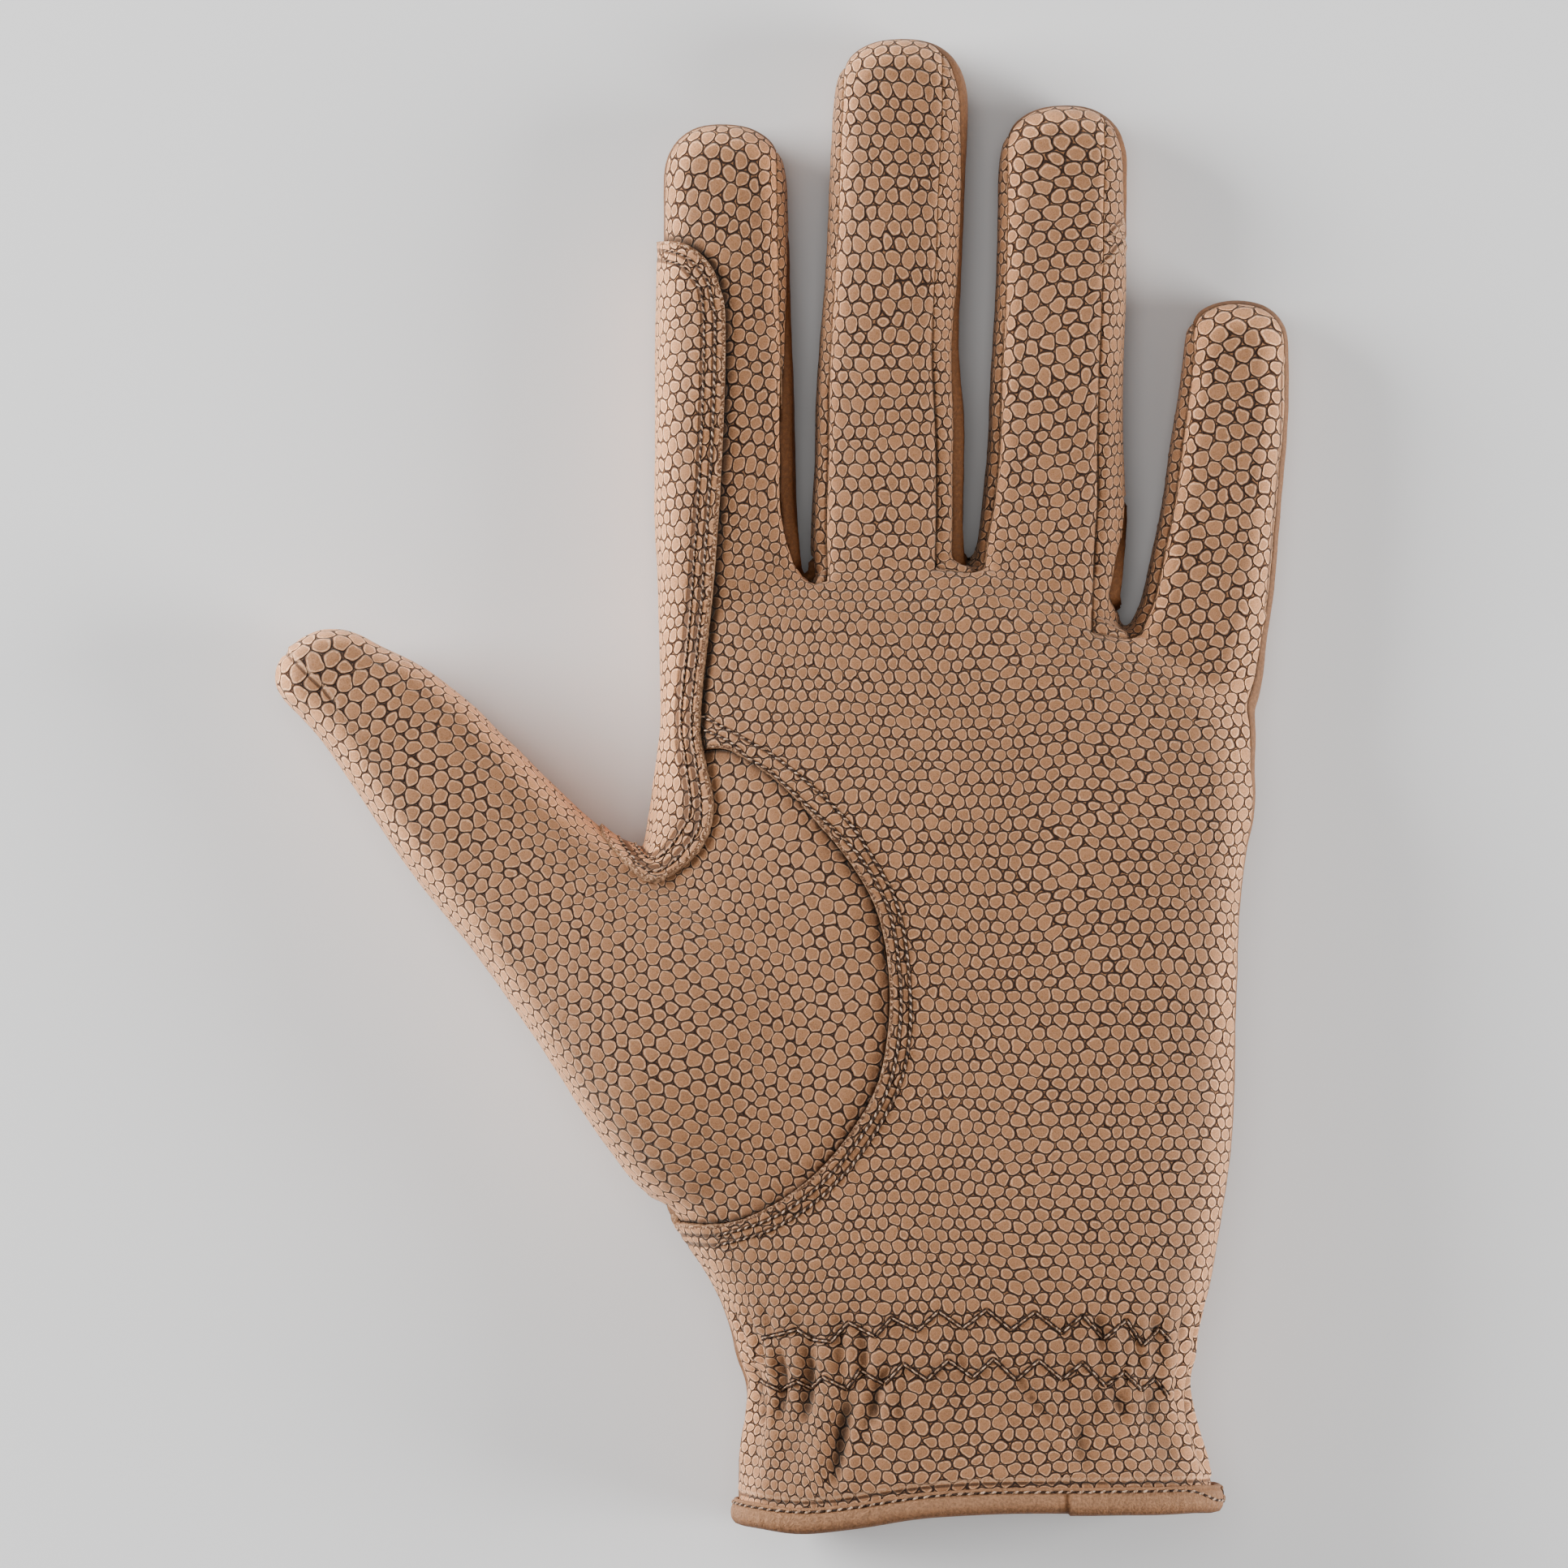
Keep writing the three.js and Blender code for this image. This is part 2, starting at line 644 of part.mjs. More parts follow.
const pieces = [
  { name: "palm_panel", made: palmPanel, color: 0x9a755c },
  { name: "back_panel", made: backPanel, color: 0xa58468 },
  { name: "thumb", made: skin.intersect(thumbRegion), color: 0x9a765d },
  { name: "gusset_index_middle", made: skin.intersect(gussets[0].region), color: 0x8f6c52 },
  { name: "gusset_middle_ring", made: skin.intersect(gussets[1].region), color: 0x8f6c52 },
  { name: "gusset_ring_little", made: skin.intersect(gussets[2].region), color: 0x8f6c52 },
  { name: "index_patch", made: indexPatch, color: 0x97725a },
  { name: "cuff_binding", made: bindingSolid(), color: 0xbc987e },
];

const group = new THREE.Group();
group.name = "riding_glove";
for (const { name, made, color } of pieces) {
  const { numProp, vertProperties, triVerts } = largest(made).getMesh();
  const geometry = new THREE.BufferGeometry();
  const positions = new THREE.BufferAttribute(new Float32Array(vertProperties), numProp);
  geometry.setAttribute("position", positions);
  geometry.setIndex(new THREE.BufferAttribute(new Uint32Array(triVerts), 1));
  const material = new THREE.MeshStandardMaterial({ color, roughness: 0.6, metalness: 0 });
  const mesh = new THREE.Mesh(geometry, material);
  mesh.name = name;
  group.add(mesh);
}

// The origin goes under the middle of the whole glove.
const middleOfAll = new THREE.Box3().setFromObject(group).getCenter(new THREE.Vector3());
for (const mesh of group.children) {
  mesh.geometry.translate(-middleOfAll.x, -middleOfAll.y, 0);
}

export default group;
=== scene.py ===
# %% [markdown]
# # A riding glove in scale-embossed leather
# The glove lies on its back, palm up, as if a hand still filled it. It is sewn from a palm
# panel, a plain back, an inset thumb, strips between the fingers, a grip patch and a
# binding round the cuff. We first shape one smooth hand, then cut the panels out of it
# along the seams, so that neighbouring panels meet as they do on the real glove.

# %% Load the frame
import math

import bmesh
import bpy
import numpy as np
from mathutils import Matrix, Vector
from mathutils.bvhtree import BVHTree


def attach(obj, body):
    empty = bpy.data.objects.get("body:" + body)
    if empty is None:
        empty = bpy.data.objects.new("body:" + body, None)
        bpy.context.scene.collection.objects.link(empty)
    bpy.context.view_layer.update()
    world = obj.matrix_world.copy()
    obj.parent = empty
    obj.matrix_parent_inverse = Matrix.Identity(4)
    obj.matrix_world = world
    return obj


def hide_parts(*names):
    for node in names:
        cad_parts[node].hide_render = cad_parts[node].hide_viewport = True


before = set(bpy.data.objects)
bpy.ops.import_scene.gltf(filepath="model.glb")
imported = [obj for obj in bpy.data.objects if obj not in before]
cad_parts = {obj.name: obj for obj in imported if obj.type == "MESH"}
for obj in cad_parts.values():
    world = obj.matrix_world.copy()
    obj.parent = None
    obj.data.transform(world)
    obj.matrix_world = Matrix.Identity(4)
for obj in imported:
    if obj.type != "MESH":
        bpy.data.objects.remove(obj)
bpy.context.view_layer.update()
MM = 0.001
print("frame holds", sorted(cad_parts))

# %% [markdown]
# ## Camera, floor and light
# The photograph looks straight down on the palm from far away. A long lens keeps the
# fingers parallel. The light is a broad soft ceiling with a low lamp at each side, the
# stronger one at the left, which leaves the pale edges that the leather shows there.

# %% Camera
VIEW_WIDTH = 241.5 * MM
LENS = 400.0
SENSOR = 36.0
EYE_HEIGHT = VIEW_WIDTH * LENS / SENSOR
FOCUS_HEIGHT = 14 * MM

camera_data = bpy.data.cameras.new("camera")
camera_data.lens = LENS
camera_data.sensor_width = SENSOR
camera = bpy.data.objects.new("camera", camera_data)
camera.location = (0, 0, FOCUS_HEIGHT + EYE_HEIGHT)
bpy.context.scene.collection.objects.link(camera)
bpy.context.scene.camera = camera
print("camera stands", round(camera.location.z, 3), "m above the floor")


# %% Floor and lights
def add_light(name, place, aim, size, power):
    data = bpy.data.lights.new(name, "AREA")
    data.shape = "DISK"
    data.size = size
    data.energy = power
    lamp = bpy.data.objects.new(name, data)
    lamp.location = place
    lamp.rotation_euler = (Vector(aim) - Vector(place)).to_track_quat("-Z", "Y").to_euler()
    bpy.context.scene.collection.objects.link(lamp)


floor_mesh = bpy.data.meshes.new("floor")
floor_mesh.from_pydata([(-3, -3, 0), (3, -3, 0), (3, 3, 0), (-3, 3, 0)], [], [(0, 1, 2, 3)])
floor = bpy.data.objects.new("floor", floor_mesh)
bpy.context.scene.collection.objects.link(floor)
paper = bpy.data.materials.new("white_paper")
paper.use_nodes = True
paper.node_tree.nodes["Principled BSDF"].inputs["Base Color"].default_value = (0.95, 0.95, 0.95, 1)
paper.node_tree.nodes["Principled BSDF"].inputs["Roughness"].default_value = 0.9
floor_mesh.materials.append(paper)

add_light("left_side", (-0.95, 0.32, 0.37), (0, 0, 0.01), 0.7, 22.5)
add_light("right_side", (0.95, -0.15, 0.33), (0, 0, 0.01), 0.6, 14.0)
add_light("ceiling", (-0.25, 0.30, 3.2), (0, 0, 0), 1.8, 24.0)
world = bpy.data.worlds.new("studio")
world.use_nodes = True
world.node_tree.nodes["Background"].inputs["Color"].default_value = (1, 1, 1, 1)
world.node_tree.nodes["Background"].inputs["Strength"].default_value = 0.16
bpy.context.scene.world = world
print("three soft lights over a plain floor")

# %% [markdown]
# ## The sizes of the hand
# All lengths here are millimetres. The rows say how broad and how deep the hand is at
# each station, as shares of a few named sizes. A smooth curve is drawn through the rows,
# so a handful of them is enough.

# %% Named sizes
PALM_BREADTH, PALM_LENGTH, PALM_DEPTH = 92.0, 125.0, 31.0
WRIST_BREADTH, WRIST_DEPTH, CUFF_LENGTH = 67.5, 34.0, 18.8
WRIST_Y = -91.75
WEB_Y = WRIST_Y + PALM_LENGTH
HEM_Y = WRIST_Y - CUFF_LENGTH
HEM_DIP = 3.2
PALM_HOLLOW = 2.2
REST_FLAT = 1.6
SECTION_POWER, TIP_POWER = 2.4, 2.35
LEATHER = 1.1
BINDING_STANDOFF = 1.2
FRAME_SHIFT = np.array([0.33, -0.12, 0.0])

CUFF_ROWS = np.array([
    # along, centre, half, depth
    (1.0, 0.321, 0.540, 0.99),
    (0.8, 0.319, 0.538, 0.99),
    (0.5, 0.309, 0.527, 0.98),
    (0.25, 0.307, 0.508, 0.97),
    (0.0, 0.308, 0.500, 0.96),
])
PALM_ROWS = np.array([
    # along, centre, half, depth
    (0.05, 0.303, 0.384, 1.06),
    (0.12, 0.295, 0.417, 1.08),
    (0.18, 0.279, 0.448, 1.08),
    (0.25, 0.263, 0.478, 1.07),
    (0.35, 0.249, 0.505, 1.05),
    (0.46, 0.244, 0.512, 1.03),
    (0.58, 0.257, 0.506, 1.00),
    (0.68, 0.279, 0.495, 0.96),
    (0.78, 0.295, 0.493, 0.90),
    (0.88, 0.296, 0.491, 0.82),
    (0.96, 0.295, 0.494, 0.71),
    (1.0, 0.294, 0.490, 0.60),
])
# The edge of the palm between the fingers: x over the breadth, rise over the length.
WEB_LINE = np.array([
    (-0.25, 0.0), (0.05, -0.01), (0.3, 0.004), (0.44, -0.03), (0.572, -0.078), (0.82, -0.16),
])
print("palm", PALM_BREADTH, "mm broad, web at y", WEB_Y)

# %% Finger rows
FINGERS = {
    "index": dict(
        length=68.6, breadth=21.0, depth=18.0, crotch=0.0, tip=-0.102, cap=0.145, seams=(0.84, 0.84),
        rows=[(-0.32, -0.06, 0.36, 0.9), (-0.15, -0.079, 0.5, 1.02), (0.0, -0.077, 0.543, 1.06),
              (0.06, -0.086, 0.513, 1.05), (0.26, -0.093, 0.497, 1.02), (0.48, -0.095, 0.475, 1.0),
              (0.7, -0.097, 0.464, 0.95), (0.855, -0.099, 0.456, 0.9)]),
    "middle": dict(
        length=82.0, breadth=21.6, depth=18.6, crotch=0.0, tip=0.196, cap=0.128, seams=(0.86, 0.62),
        rows=[(-0.22, 0.175, 0.42, 0.95), (0.0, 0.177, 0.538, 1.04), (0.21, 0.178, 0.544, 1.03),
              (0.4, 0.177, 0.503, 1.0), (0.58, 0.184, 0.486, 0.98), (0.76, 0.191, 0.483, 0.94),
              (0.872, 0.196, 0.483, 0.9)]),
    "ring": dict(
        length=76.0, breadth=20.6, depth=17.6, crotch=-0.035, tip=0.471, cap=0.137, seams=(0.86, 0.64),
        rows=[(-0.2, 0.45, 0.42, 0.95), (0.0, 0.439, 0.566, 1.04), (0.09, 0.441, 0.566, 1.03),
              (0.19, 0.45, 0.543, 1.02), (0.3, 0.455, 0.512, 1.0), (0.49, 0.459, 0.498, 0.98),
              (0.68, 0.465, 0.486, 0.95), (0.863, 0.468, 0.481, 0.9)]),
    "little": dict(
        length=51.25, breadth=18.0, depth=15.4, crotch=-0.078, tip=0.761, cap=0.155, seams=(0.84, 0.84),
        rows=[(-0.45, 0.65, 0.38, 0.95), (-0.2, 0.686, 0.57, 1.05), (0.0, 0.693, 0.608, 1.08),
              (0.09, 0.707, 0.567, 1.05), (0.24, 0.722, 0.534, 1.02), (0.385, 0.735, 0.51, 1.0),
              (0.53, 0.744, 0.501, 0.98), (0.68, 0.752, 0.482, 0.95), (0.845, 0.758, 0.452, 0.9)]),
}
THUMB_LENGTH, THUMB_BREADTH, THUMB_DEPTH, THUMB_LIFT = 108.0, 25.0, 22.0, 6.0
THUMB_ROOT = np.array([-29.3, -25.9])
THUMB_TURN = math.radians(132)
THUMB_ROWS = np.array([
    # along, side, half, depth, lift
    (-0.40, 0.200, 0.300, 1.00, 0.00),
    (-0.36, 0.140, 0.520, 1.36, 0.00),
    (-0.30, 0.070, 0.690, 1.50, 0.00),
    (-0.22, -0.040, 0.780, 1.58, 0.00),
    (-0.11, -0.080, 0.750, 1.53, 0.05),
    (0.00, -0.050, 0.655, 1.36, 0.12),
    (0.12, -0.005, 0.548, 1.16, 0.25),
    (0.21, 0.008, 0.515, 1.04, 0.37),
    (0.30, 0.002, 0.488, 0.95, 0.50),
    (0.40, -0.018, 0.438, 0.86, 0.66),
    (0.49, 0.005, 0.366, 0.77, 0.82),
    (0.535, 0.050, 0.325, 0.70, 0.92),
])
THUMB_TIP = (0.614, 0.125)
print("fingers", [(name, one["length"]) for name, one in FINGERS.items()])

# %% [markdown]
# ## From rows to a smooth hand
# A loft skins a stack of rings. Each ring here is a superellipse, a squarish oval that
# suits a hand, pressed flat where the glove rests. Fingertips draw their rings in along
# the same kind of curve. The six lofts overlap, and a voxel remesh melts them into one
# skin, as clay would. A little smoothing then softens the creases where they meet.


# %% Rings and lofts
def through_rows(rows, count):
    """A smooth curve through every column of a table, by its first column."""
    rows = np.asarray(rows, dtype=float)
    along = np.linspace(rows[0, 0], rows[-1, 0], count)
    slopes = np.gradient(rows, rows[:, 0], axis=0)
    at = np.clip(np.searchsorted(rows[:, 0], along, side="right") - 1, 0, len(rows) - 2)
    span = rows[at + 1, 0] - rows[at, 0]
    t = ((along - rows[at, 0]) / span)[:, None]
    start, end = rows[at], rows[at + 1]
    go, arrive = slopes[at] * span[:, None], slopes[at + 1] * span[:, None]
    curve = (2 * t**3 - 3 * t**2 + 1) * start + (t**3 - 2 * t**2 + t) * go
    return curve + (3 * t**2 - 2 * t**3) * end + (t**3 - t**2) * arrive


def bulge(value, power):
    return np.sign(value) * np.abs(value) ** (2 / power)


def oval(half, depth, lift=0.0, share=1.0, sides=72):
    """Offsets across a section, heights over the rest, and 1 at its crest."""
    turn = np.arange(sides) / sides * 2 * np.pi
    across = half * share * bulge(np.cos(turn), SECTION_POWER)
    rise = (depth + REST_FLAT) / 2 * share * bulge(np.sin(turn), SECTION_POWER)
    return across, lift + (depth - REST_FLAT) / 2 + rise, np.sin(turn)


def skin_rings(rings):
    """Vertices and faces of a closed loft through rings of equal size."""
    sides = len(rings[0])
    faces = []
    for row in range(len(rings) - 1):
        for j in range(sides):
            a, b = row * sides + j, row * sides + (j + 1) % sides
            faces.append((a, a + sides, b + sides, b))
    last = (len(rings) - 1) * sides
    for j in range(1, sides // 2):
        far, near = sides - j, j
        faces.append((near - 1, near, far, (far + 1) % sides) if j > 1 else (0, 1, sides - 1))
        ring = (near, near - 1, (far + 1) % sides, far) if j > 1 else (1, 0, sides - 1)
        faces.append(tuple(last + k for k in ring))
    half = sides // 2
    faces.append((half - 1, half, half + 1))
    faces.append((last + half, last + half - 1, last + half + 1))
    return np.concatenate(rings), faces


# A tip is drawn in along a quarter turn, in steps that shorten toward its end.
TIP_ANGLES = np.radians([8, 16, 24, 32, 40, 48, 56, 64, 71, 77, 82, 86])


def finger_rings(one):
    base = WEB_Y + one["crotch"] * PALM_LENGTH
    rows = through_rows(one["rows"], 60)
    rings = []
    for along, centre, half, depth in rows:
        across, height, _ = oval(half * one["breadth"], depth * one["depth"])
        y = base + along * one["length"]
        rings.append(np.stack([centre * PALM_BREADTH + across, np.full_like(across, y), height], 1))
    along, centre, half, depth = rows[-1]
    for angle in TIP_ANGLES:
        out, share = bulge(np.sin(angle), TIP_POWER), bulge(np.cos(angle), TIP_POWER)
        across, height, _ = oval(half * one["breadth"], depth * one["depth"], share=share)
        x = (centre + (one["tip"] - centre) * out) * PALM_BREADTH + across
        y = base + (along + one["cap"] * out) * one["length"]
        rings.append(np.stack([x, np.full_like(across, y), height], 1))
    return rings


fingers_made = {name: skin_rings(finger_rings(one)) for name, one in FINGERS.items()}
print("finger lofts", {name: len(made[0]) for name, made in fingers_made.items()})


# %% The thumb's loft
def thumb_rings():
    axis = np.array([math.cos(THUMB_TURN), math.sin(THUMB_TURN)])
    right = np.array([axis[1], -axis[0]])
    rows = through_rows(THUMB_ROWS, 80)
    stations = [(*row, 1.0) for row in rows]
    along, side, half, depth, lift = rows[-1]
    for angle in TIP_ANGLES:
        out, share = bulge(np.sin(angle), TIP_POWER), bulge(np.cos(angle), TIP_POWER)
        reach = along + (THUMB_TIP[0] - along) * out
        stations.append((reach, side + (THUMB_TIP[1] - side) * out, half, depth, lift, share))
    rings = []
    for along, side, half, depth, lift, share in stations:
        across, height, _ = oval(half * THUMB_BREADTH, depth * THUMB_DEPTH, lift * THUMB_LIFT, share)
        place = THUMB_ROOT + axis * along * THUMB_LENGTH
        plan = place + np.outer(across - side * THUMB_BREADTH, right)
        rings.append(np.column_stack([plan, height]))
    return rings


thumb_made = skin_rings(thumb_rings())
print("thumb loft", len(thumb_made[0]))


# %% The palm and cuff's loft
def smoothstep(value, low, high):
    t = np.clip((value - low) / (high - low), 0, 1)
    return t * t * (3 - 2 * t)


def sway(x, y):
    """The hem dips at the thumb side, and the palm's end falls to the little finger."""
    x, y = np.asarray(x, float), np.asarray(y, float)
    dip = HEM_DIP * np.exp(-(((x - 0.03 * PALM_BREADTH) / (0.17 * PALM_BREADTH)) ** 2))
    at_hem = smoothstep(WRIST_Y - y, 0, 0.8 * CUFF_LENGTH)
    at_web = smoothstep(y, WEB_Y - 0.45 * PALM_LENGTH, WEB_Y)
    rise = np.interp(x / PALM_BREADTH, WEB_LINE[:, 0], WEB_LINE[:, 1]) * PALM_LENGTH
    return rise * at_web - dip * at_hem


def palm_rings():
    cuff = CUFF_ROWS * (-CUFF_LENGTH, PALM_BREADTH, WRIST_BREADTH, WRIST_DEPTH)
    palm = PALM_ROWS * (PALM_LENGTH, PALM_BREADTH, PALM_BREADTH, PALM_DEPTH)
    rows = np.concatenate([cuff, palm])
    rows = np.concatenate([rows[:1] - (4.0, 0, 0, 0), rows])
    rings = []
    for along, centre, half, depth in through_rows(rows, 150):
        across, height, crest = oval(half, depth, sides=168)
        x, y = centre + across, WRIST_Y + along
        u = (x - 0.4 * PALM_BREADTH) / (0.26 * PALM_BREADTH)
        v = (y - WRIST_Y - 0.52 * PALM_LENGTH) / (0.24 * PALM_LENGTH)
        height = height - np.maximum(crest, 0) * PALM_HOLLOW * np.exp(-u * u - v * v)
        rings.append(np.stack([x, y + sway(x, np.full_like(x, y)), height], 1))
    return rings


palm_made = skin_rings(palm_rings())
print("palm loft", len(palm_made[0]))

# %% Melt the lofts into one hand
VOXEL = 0.85
SOFTEN_ROUNDS = 12


def melt(parts, voxel, rounds):
    """One smooth closed mesh, in millimetres, round several overlapping lofts."""
    mesh = bpy.data.meshes.new("hand")
    points, faces, start = [], [], 0
    for verts, quads in parts:
        points.append(verts)
        faces += [tuple(start + i for i in face) for face in quads]
        start += len(verts)
    mesh.from_pydata(np.concatenate(points).tolist(), [], faces)
    hand = bpy.data.objects.new("hand", mesh)
    bpy.context.scene.collection.objects.link(hand)
    remesh = hand.modifiers.new("melt", "REMESH")
    remesh.mode = "VOXEL"
    remesh.voxel_size = voxel
    smooth = hand.modifiers.new("soften", "SMOOTH")
    smooth.factor = 0.5
    smooth.iterations = rounds
    triangles = hand.modifiers.new("triangles", "TRIANGULATE")
    triangles.quad_method = "SHORTEST_DIAGONAL"
    made = bpy.data.meshes.new_from_object(hand.evaluated_get(bpy.context.evaluated_depsgraph_get()))
    bpy.data.objects.remove(hand)
    return made


hand_mesh = melt([palm_made, thumb_made, *fingers_made.values()], VOXEL, SOFTEN_ROUNDS)
print("hand", len(hand_mesh.vertices), "vertices", len(hand_mesh.polygons), "triangles")

# %% [markdown]
# ## Seams as signed fields
# A seam is where a number changes sign. For every point of the hand we work out how far
# it lies inside the outline of the thumb piece, above the side seam, between two finger
# seams, and so on. A panel is then the part of the hand where its own number is above
# zero. The same numbers later tell a material how near a seam is, so creases, stitch
# dents and raw edges need no painting.


# %% Outlines in plan
def spline(points, steps):
    """A smooth line through points in plan."""
    points = np.asarray(points, dtype=float)
    padded = np.vstack([points[:1], points, points[-1:]])
    at = np.linspace(0, len(points) - 1, steps + 1)
    i = np.minimum(at.astype(int), len(points) - 2)
    t = (at - i)[:, None]
    a, b, c, d = (padded[i + k] for k in range(4))
    go, arrive = (c - a) / 2, (d - b) / 2
    curve = (2 * t**3 - 3 * t**2 + 1) * b + (t**3 - 2 * t**2 + t) * go
    return curve + (3 * t**2 - 2 * t**3) * c + (t**3 - t**2) * arrive


def to_plan(shares):
    """Millimetres from shares of the palm's breadth, and of its length from the wrist."""
    return np.asarray(shares, dtype=float) * (PALM_BREADTH, PALM_LENGTH) + (0, WRIST_Y)


THUMB_SEAM_FRONT = [
    (-0.26, 0.735), (-0.18, 0.765), (-0.105, 0.777), (-0.048, 0.758), (0.019, 0.718),
    (0.069, 0.675), (0.115, 0.632), (0.152, 0.583), (0.171, 0.522), (0.175, 0.45),
    (0.156, 0.368), (0.107, 0.304), (0.045, 0.252), (-0.03, 0.214), (-0.114, 0.194), (-0.24, 0.2),
]
THUMB_SEAM_BACK = [
    (-0.26, 0.735), (-0.17, 0.66), (-0.125, 0.52), (-0.115, 0.38), (-0.15, 0.26), (-0.24, 0.2),
]
THUMB_BEYOND = [(-1.1, 0.2), (-1.1, 1.1), (-0.5, 1.1)]
PATCH_EDGE = [
    (-0.215, 1.403), (-0.166, 1.4), (-0.128, 1.378), (-0.108, 1.347), (-0.098, 1.3),
    (-0.103, 1.14), (-0.12, 0.95), (-0.137, 0.82), (-0.128, 0.765), (-0.115, 0.705),
    (-0.133, 0.657), (-0.182, 0.622), (-0.225, 0.611), (-0.266, 0.636), (-0.302, 0.669),
]
PATCH_BEYOND = [(-0.314, 0.692), (-0.3, 0.8), (-0.26, 1.0), (-0.26, 1.403)]
# The side seam's height over the palm's depth, by its place along the palm.
SIDE_SEAM = np.array([
    (-0.4, 0.54), (0.0, 0.54), (0.4, 0.54), (0.75, 0.46), (0.97, 0.32), (1.1, 0.3), (1.8, 0.28),
])
GUSSET_FLOOR, GUSSET_NOTCH, PATCH_FLOOR = 0.26, 0.7, 3.0

thumb_front = np.vstack([spline(to_plan(THUMB_SEAM_FRONT), 90), to_plan(THUMB_BEYOND)])
thumb_back = np.vstack([spline(to_plan(THUMB_SEAM_BACK), 40), to_plan(THUMB_BEYOND)])
patch_outline = np.vstack([spline(to_plan(PATCH_EDGE), 90), to_plan(PATCH_BEYOND)])
# Seam rows in plan, as shares of the palm's breadth and of its length from the wrist.
THUMB_ROW_OUTER = [
    (-0.151, 0.822), (-0.096, 0.802), (-0.048, 0.782), (-0.014, 0.767), (0.053, 0.727),
    (0.111, 0.684), (0.136, 0.657), (0.168, 0.618), (0.186, 0.59), (0.202, 0.54), (0.21, 0.47),
    (0.208, 0.42), (0.189, 0.359), (0.132, 0.286), (0.064, 0.23), (-0.019, 0.189), (-0.114, 0.168),
]
THUMB_ROW_INNER = [
    (-0.135, 0.801), (-0.088, 0.785), (-0.056, 0.764), (-0.022, 0.749), (0.037, 0.709),
    (0.085, 0.677), (0.13, 0.641), (0.17, 0.588), (0.188, 0.53), (0.194, 0.45), (0.174, 0.363),
    (0.12, 0.294), (0.055, 0.24), (-0.024, 0.201), (-0.114, 0.18),
]
PATCH_ROW_OUTER = [
    (-0.201, 1.392), (-0.166, 1.384), (-0.139, 1.367), (-0.126, 1.349), (-0.12, 1.328),
    (-0.115, 1.288), (-0.121, 1.14), (-0.138, 0.95), (-0.154, 0.82), (-0.147, 0.765),
    (-0.139, 0.72), (-0.139, 0.69), (-0.15, 0.668), (-0.187, 0.636), (-0.223, 0.626),
    (-0.256, 0.646), (-0.289, 0.682),
]
PATCH_ROW_INNER = [
    (-0.2, 1.38), (-0.168, 1.371), (-0.144, 1.349), (-0.137, 1.334), (-0.133, 1.282),
    (-0.139, 1.14), (-0.155, 0.95), (-0.171, 0.82), (-0.164, 0.765), (-0.156, 0.72),
    (-0.157, 0.695), (-0.168, 0.679), (-0.194, 0.652), (-0.221, 0.641), (-0.246, 0.656),
    (-0.272, 0.69),
]
row_outlines = {
    "thumb_row_outer": np.vstack([spline(to_plan(THUMB_ROW_OUTER), 60), to_plan(THUMB_BEYOND)]),
    "thumb_row_inner": np.vstack([spline(to_plan(THUMB_ROW_INNER), 60), to_plan(THUMB_BEYOND)]),
    "patch_row_outer": np.vstack([spline(to_plan(PATCH_ROW_OUTER), 60), to_plan(PATCH_BEYOND)]),
    "patch_row_inner": np.vstack([spline(to_plan(PATCH_ROW_INNER), 60), to_plan(PATCH_BEYOND)]),
}
print("thumb seam", len(thumb_front), "points, patch", len(patch_outline))


# %% Gusset outlines
def finger_seam(one, side, share, crotch_y):
    base = WEB_Y + one["crotch"] * PALM_LENGTH
    along, centre, half, _ = through_rows(one["rows"], 50).T
    x = centre * PALM_BREADTH + side * share * half * one["breadth"]
    line = np.column_stack([x, base + along * one["length"]])
    line = line[line[:, 1] > crotch_y - GUSSET_NOTCH / 2]
    return np.vstack([line, (line[-1, 0], base + 1.1 * one["length"])])


def finger_edge(one, side):
    root = next(row for row in one["rows"] if row[0] == 0)
    return root[1] * PALM_BREADTH + side * root[2] * one["breadth"]


def gusset_outline(left, right):
    x = (finger_edge(left, 1) + finger_edge(right, -1)) / 2
    y = WEB_Y + np.interp(x / PALM_BREADTH, WEB_LINE[:, 0], WEB_LINE[:, 1]) * PALM_LENGTH
    up = finger_seam(left, 1, left["seams"][1], y)
    down = finger_seam(right, -1, right["seams"][0], y)
    return np.vstack([[(x, y - GUSSET_NOTCH)], down, up[::-1]])


NEIGHBOURS = {
    "gusset_index_middle": ("index", "middle"),
    "gusset_middle_ring": ("middle", "ring"),
    "gusset_ring_little": ("ring", "little"),
}
gusset_plans = {
    name: gusset_outline(FINGERS[left], FINGERS[right]) for name, (left, right) in NEIGHBOURS.items()
}
print("gussets start at", {name: plan[0].round(1).tolist() for name, plan in gusset_plans.items()})


# %% Fields over the hand
def inside_by(outline, plan):
    """How far points in plan lie inside a closed outline, below zero outside it."""
    nearest = np.full(len(plan), np.inf)
    inside = np.zeros(len(plan), dtype=bool)
    for a, b in zip(outline, np.roll(outline, -1, axis=0)):
        edge = b - a
        t = np.clip((plan - a) @ edge / max(edge @ edge, 1e-9), 0, 1)
        nearest = np.minimum(nearest, np.hypot(*(plan - a - t[:, None] * edge).T))
        if a[1] != b[1]:
            crosses = (a[1] > plan[:, 1]) != (b[1] > plan[:, 1])
            inside ^= crosses & (plan[:, 0] < a[0] + (plan[:, 1] - a[1]) / edge[1] * edge[0])
    return np.where(inside, nearest, -nearest)


def read_mesh(mesh):
    points = np.empty(len(mesh.vertices) * 3, dtype=np.float32)
    mesh.vertices.foreach_get("co", points)
    corners = np.empty(len(mesh.loops), dtype=np.int32)
    mesh.loops.foreach_get("vertex_index", corners)
    return points.reshape(-1, 3).astype(float), corners.reshape(-1, 3)


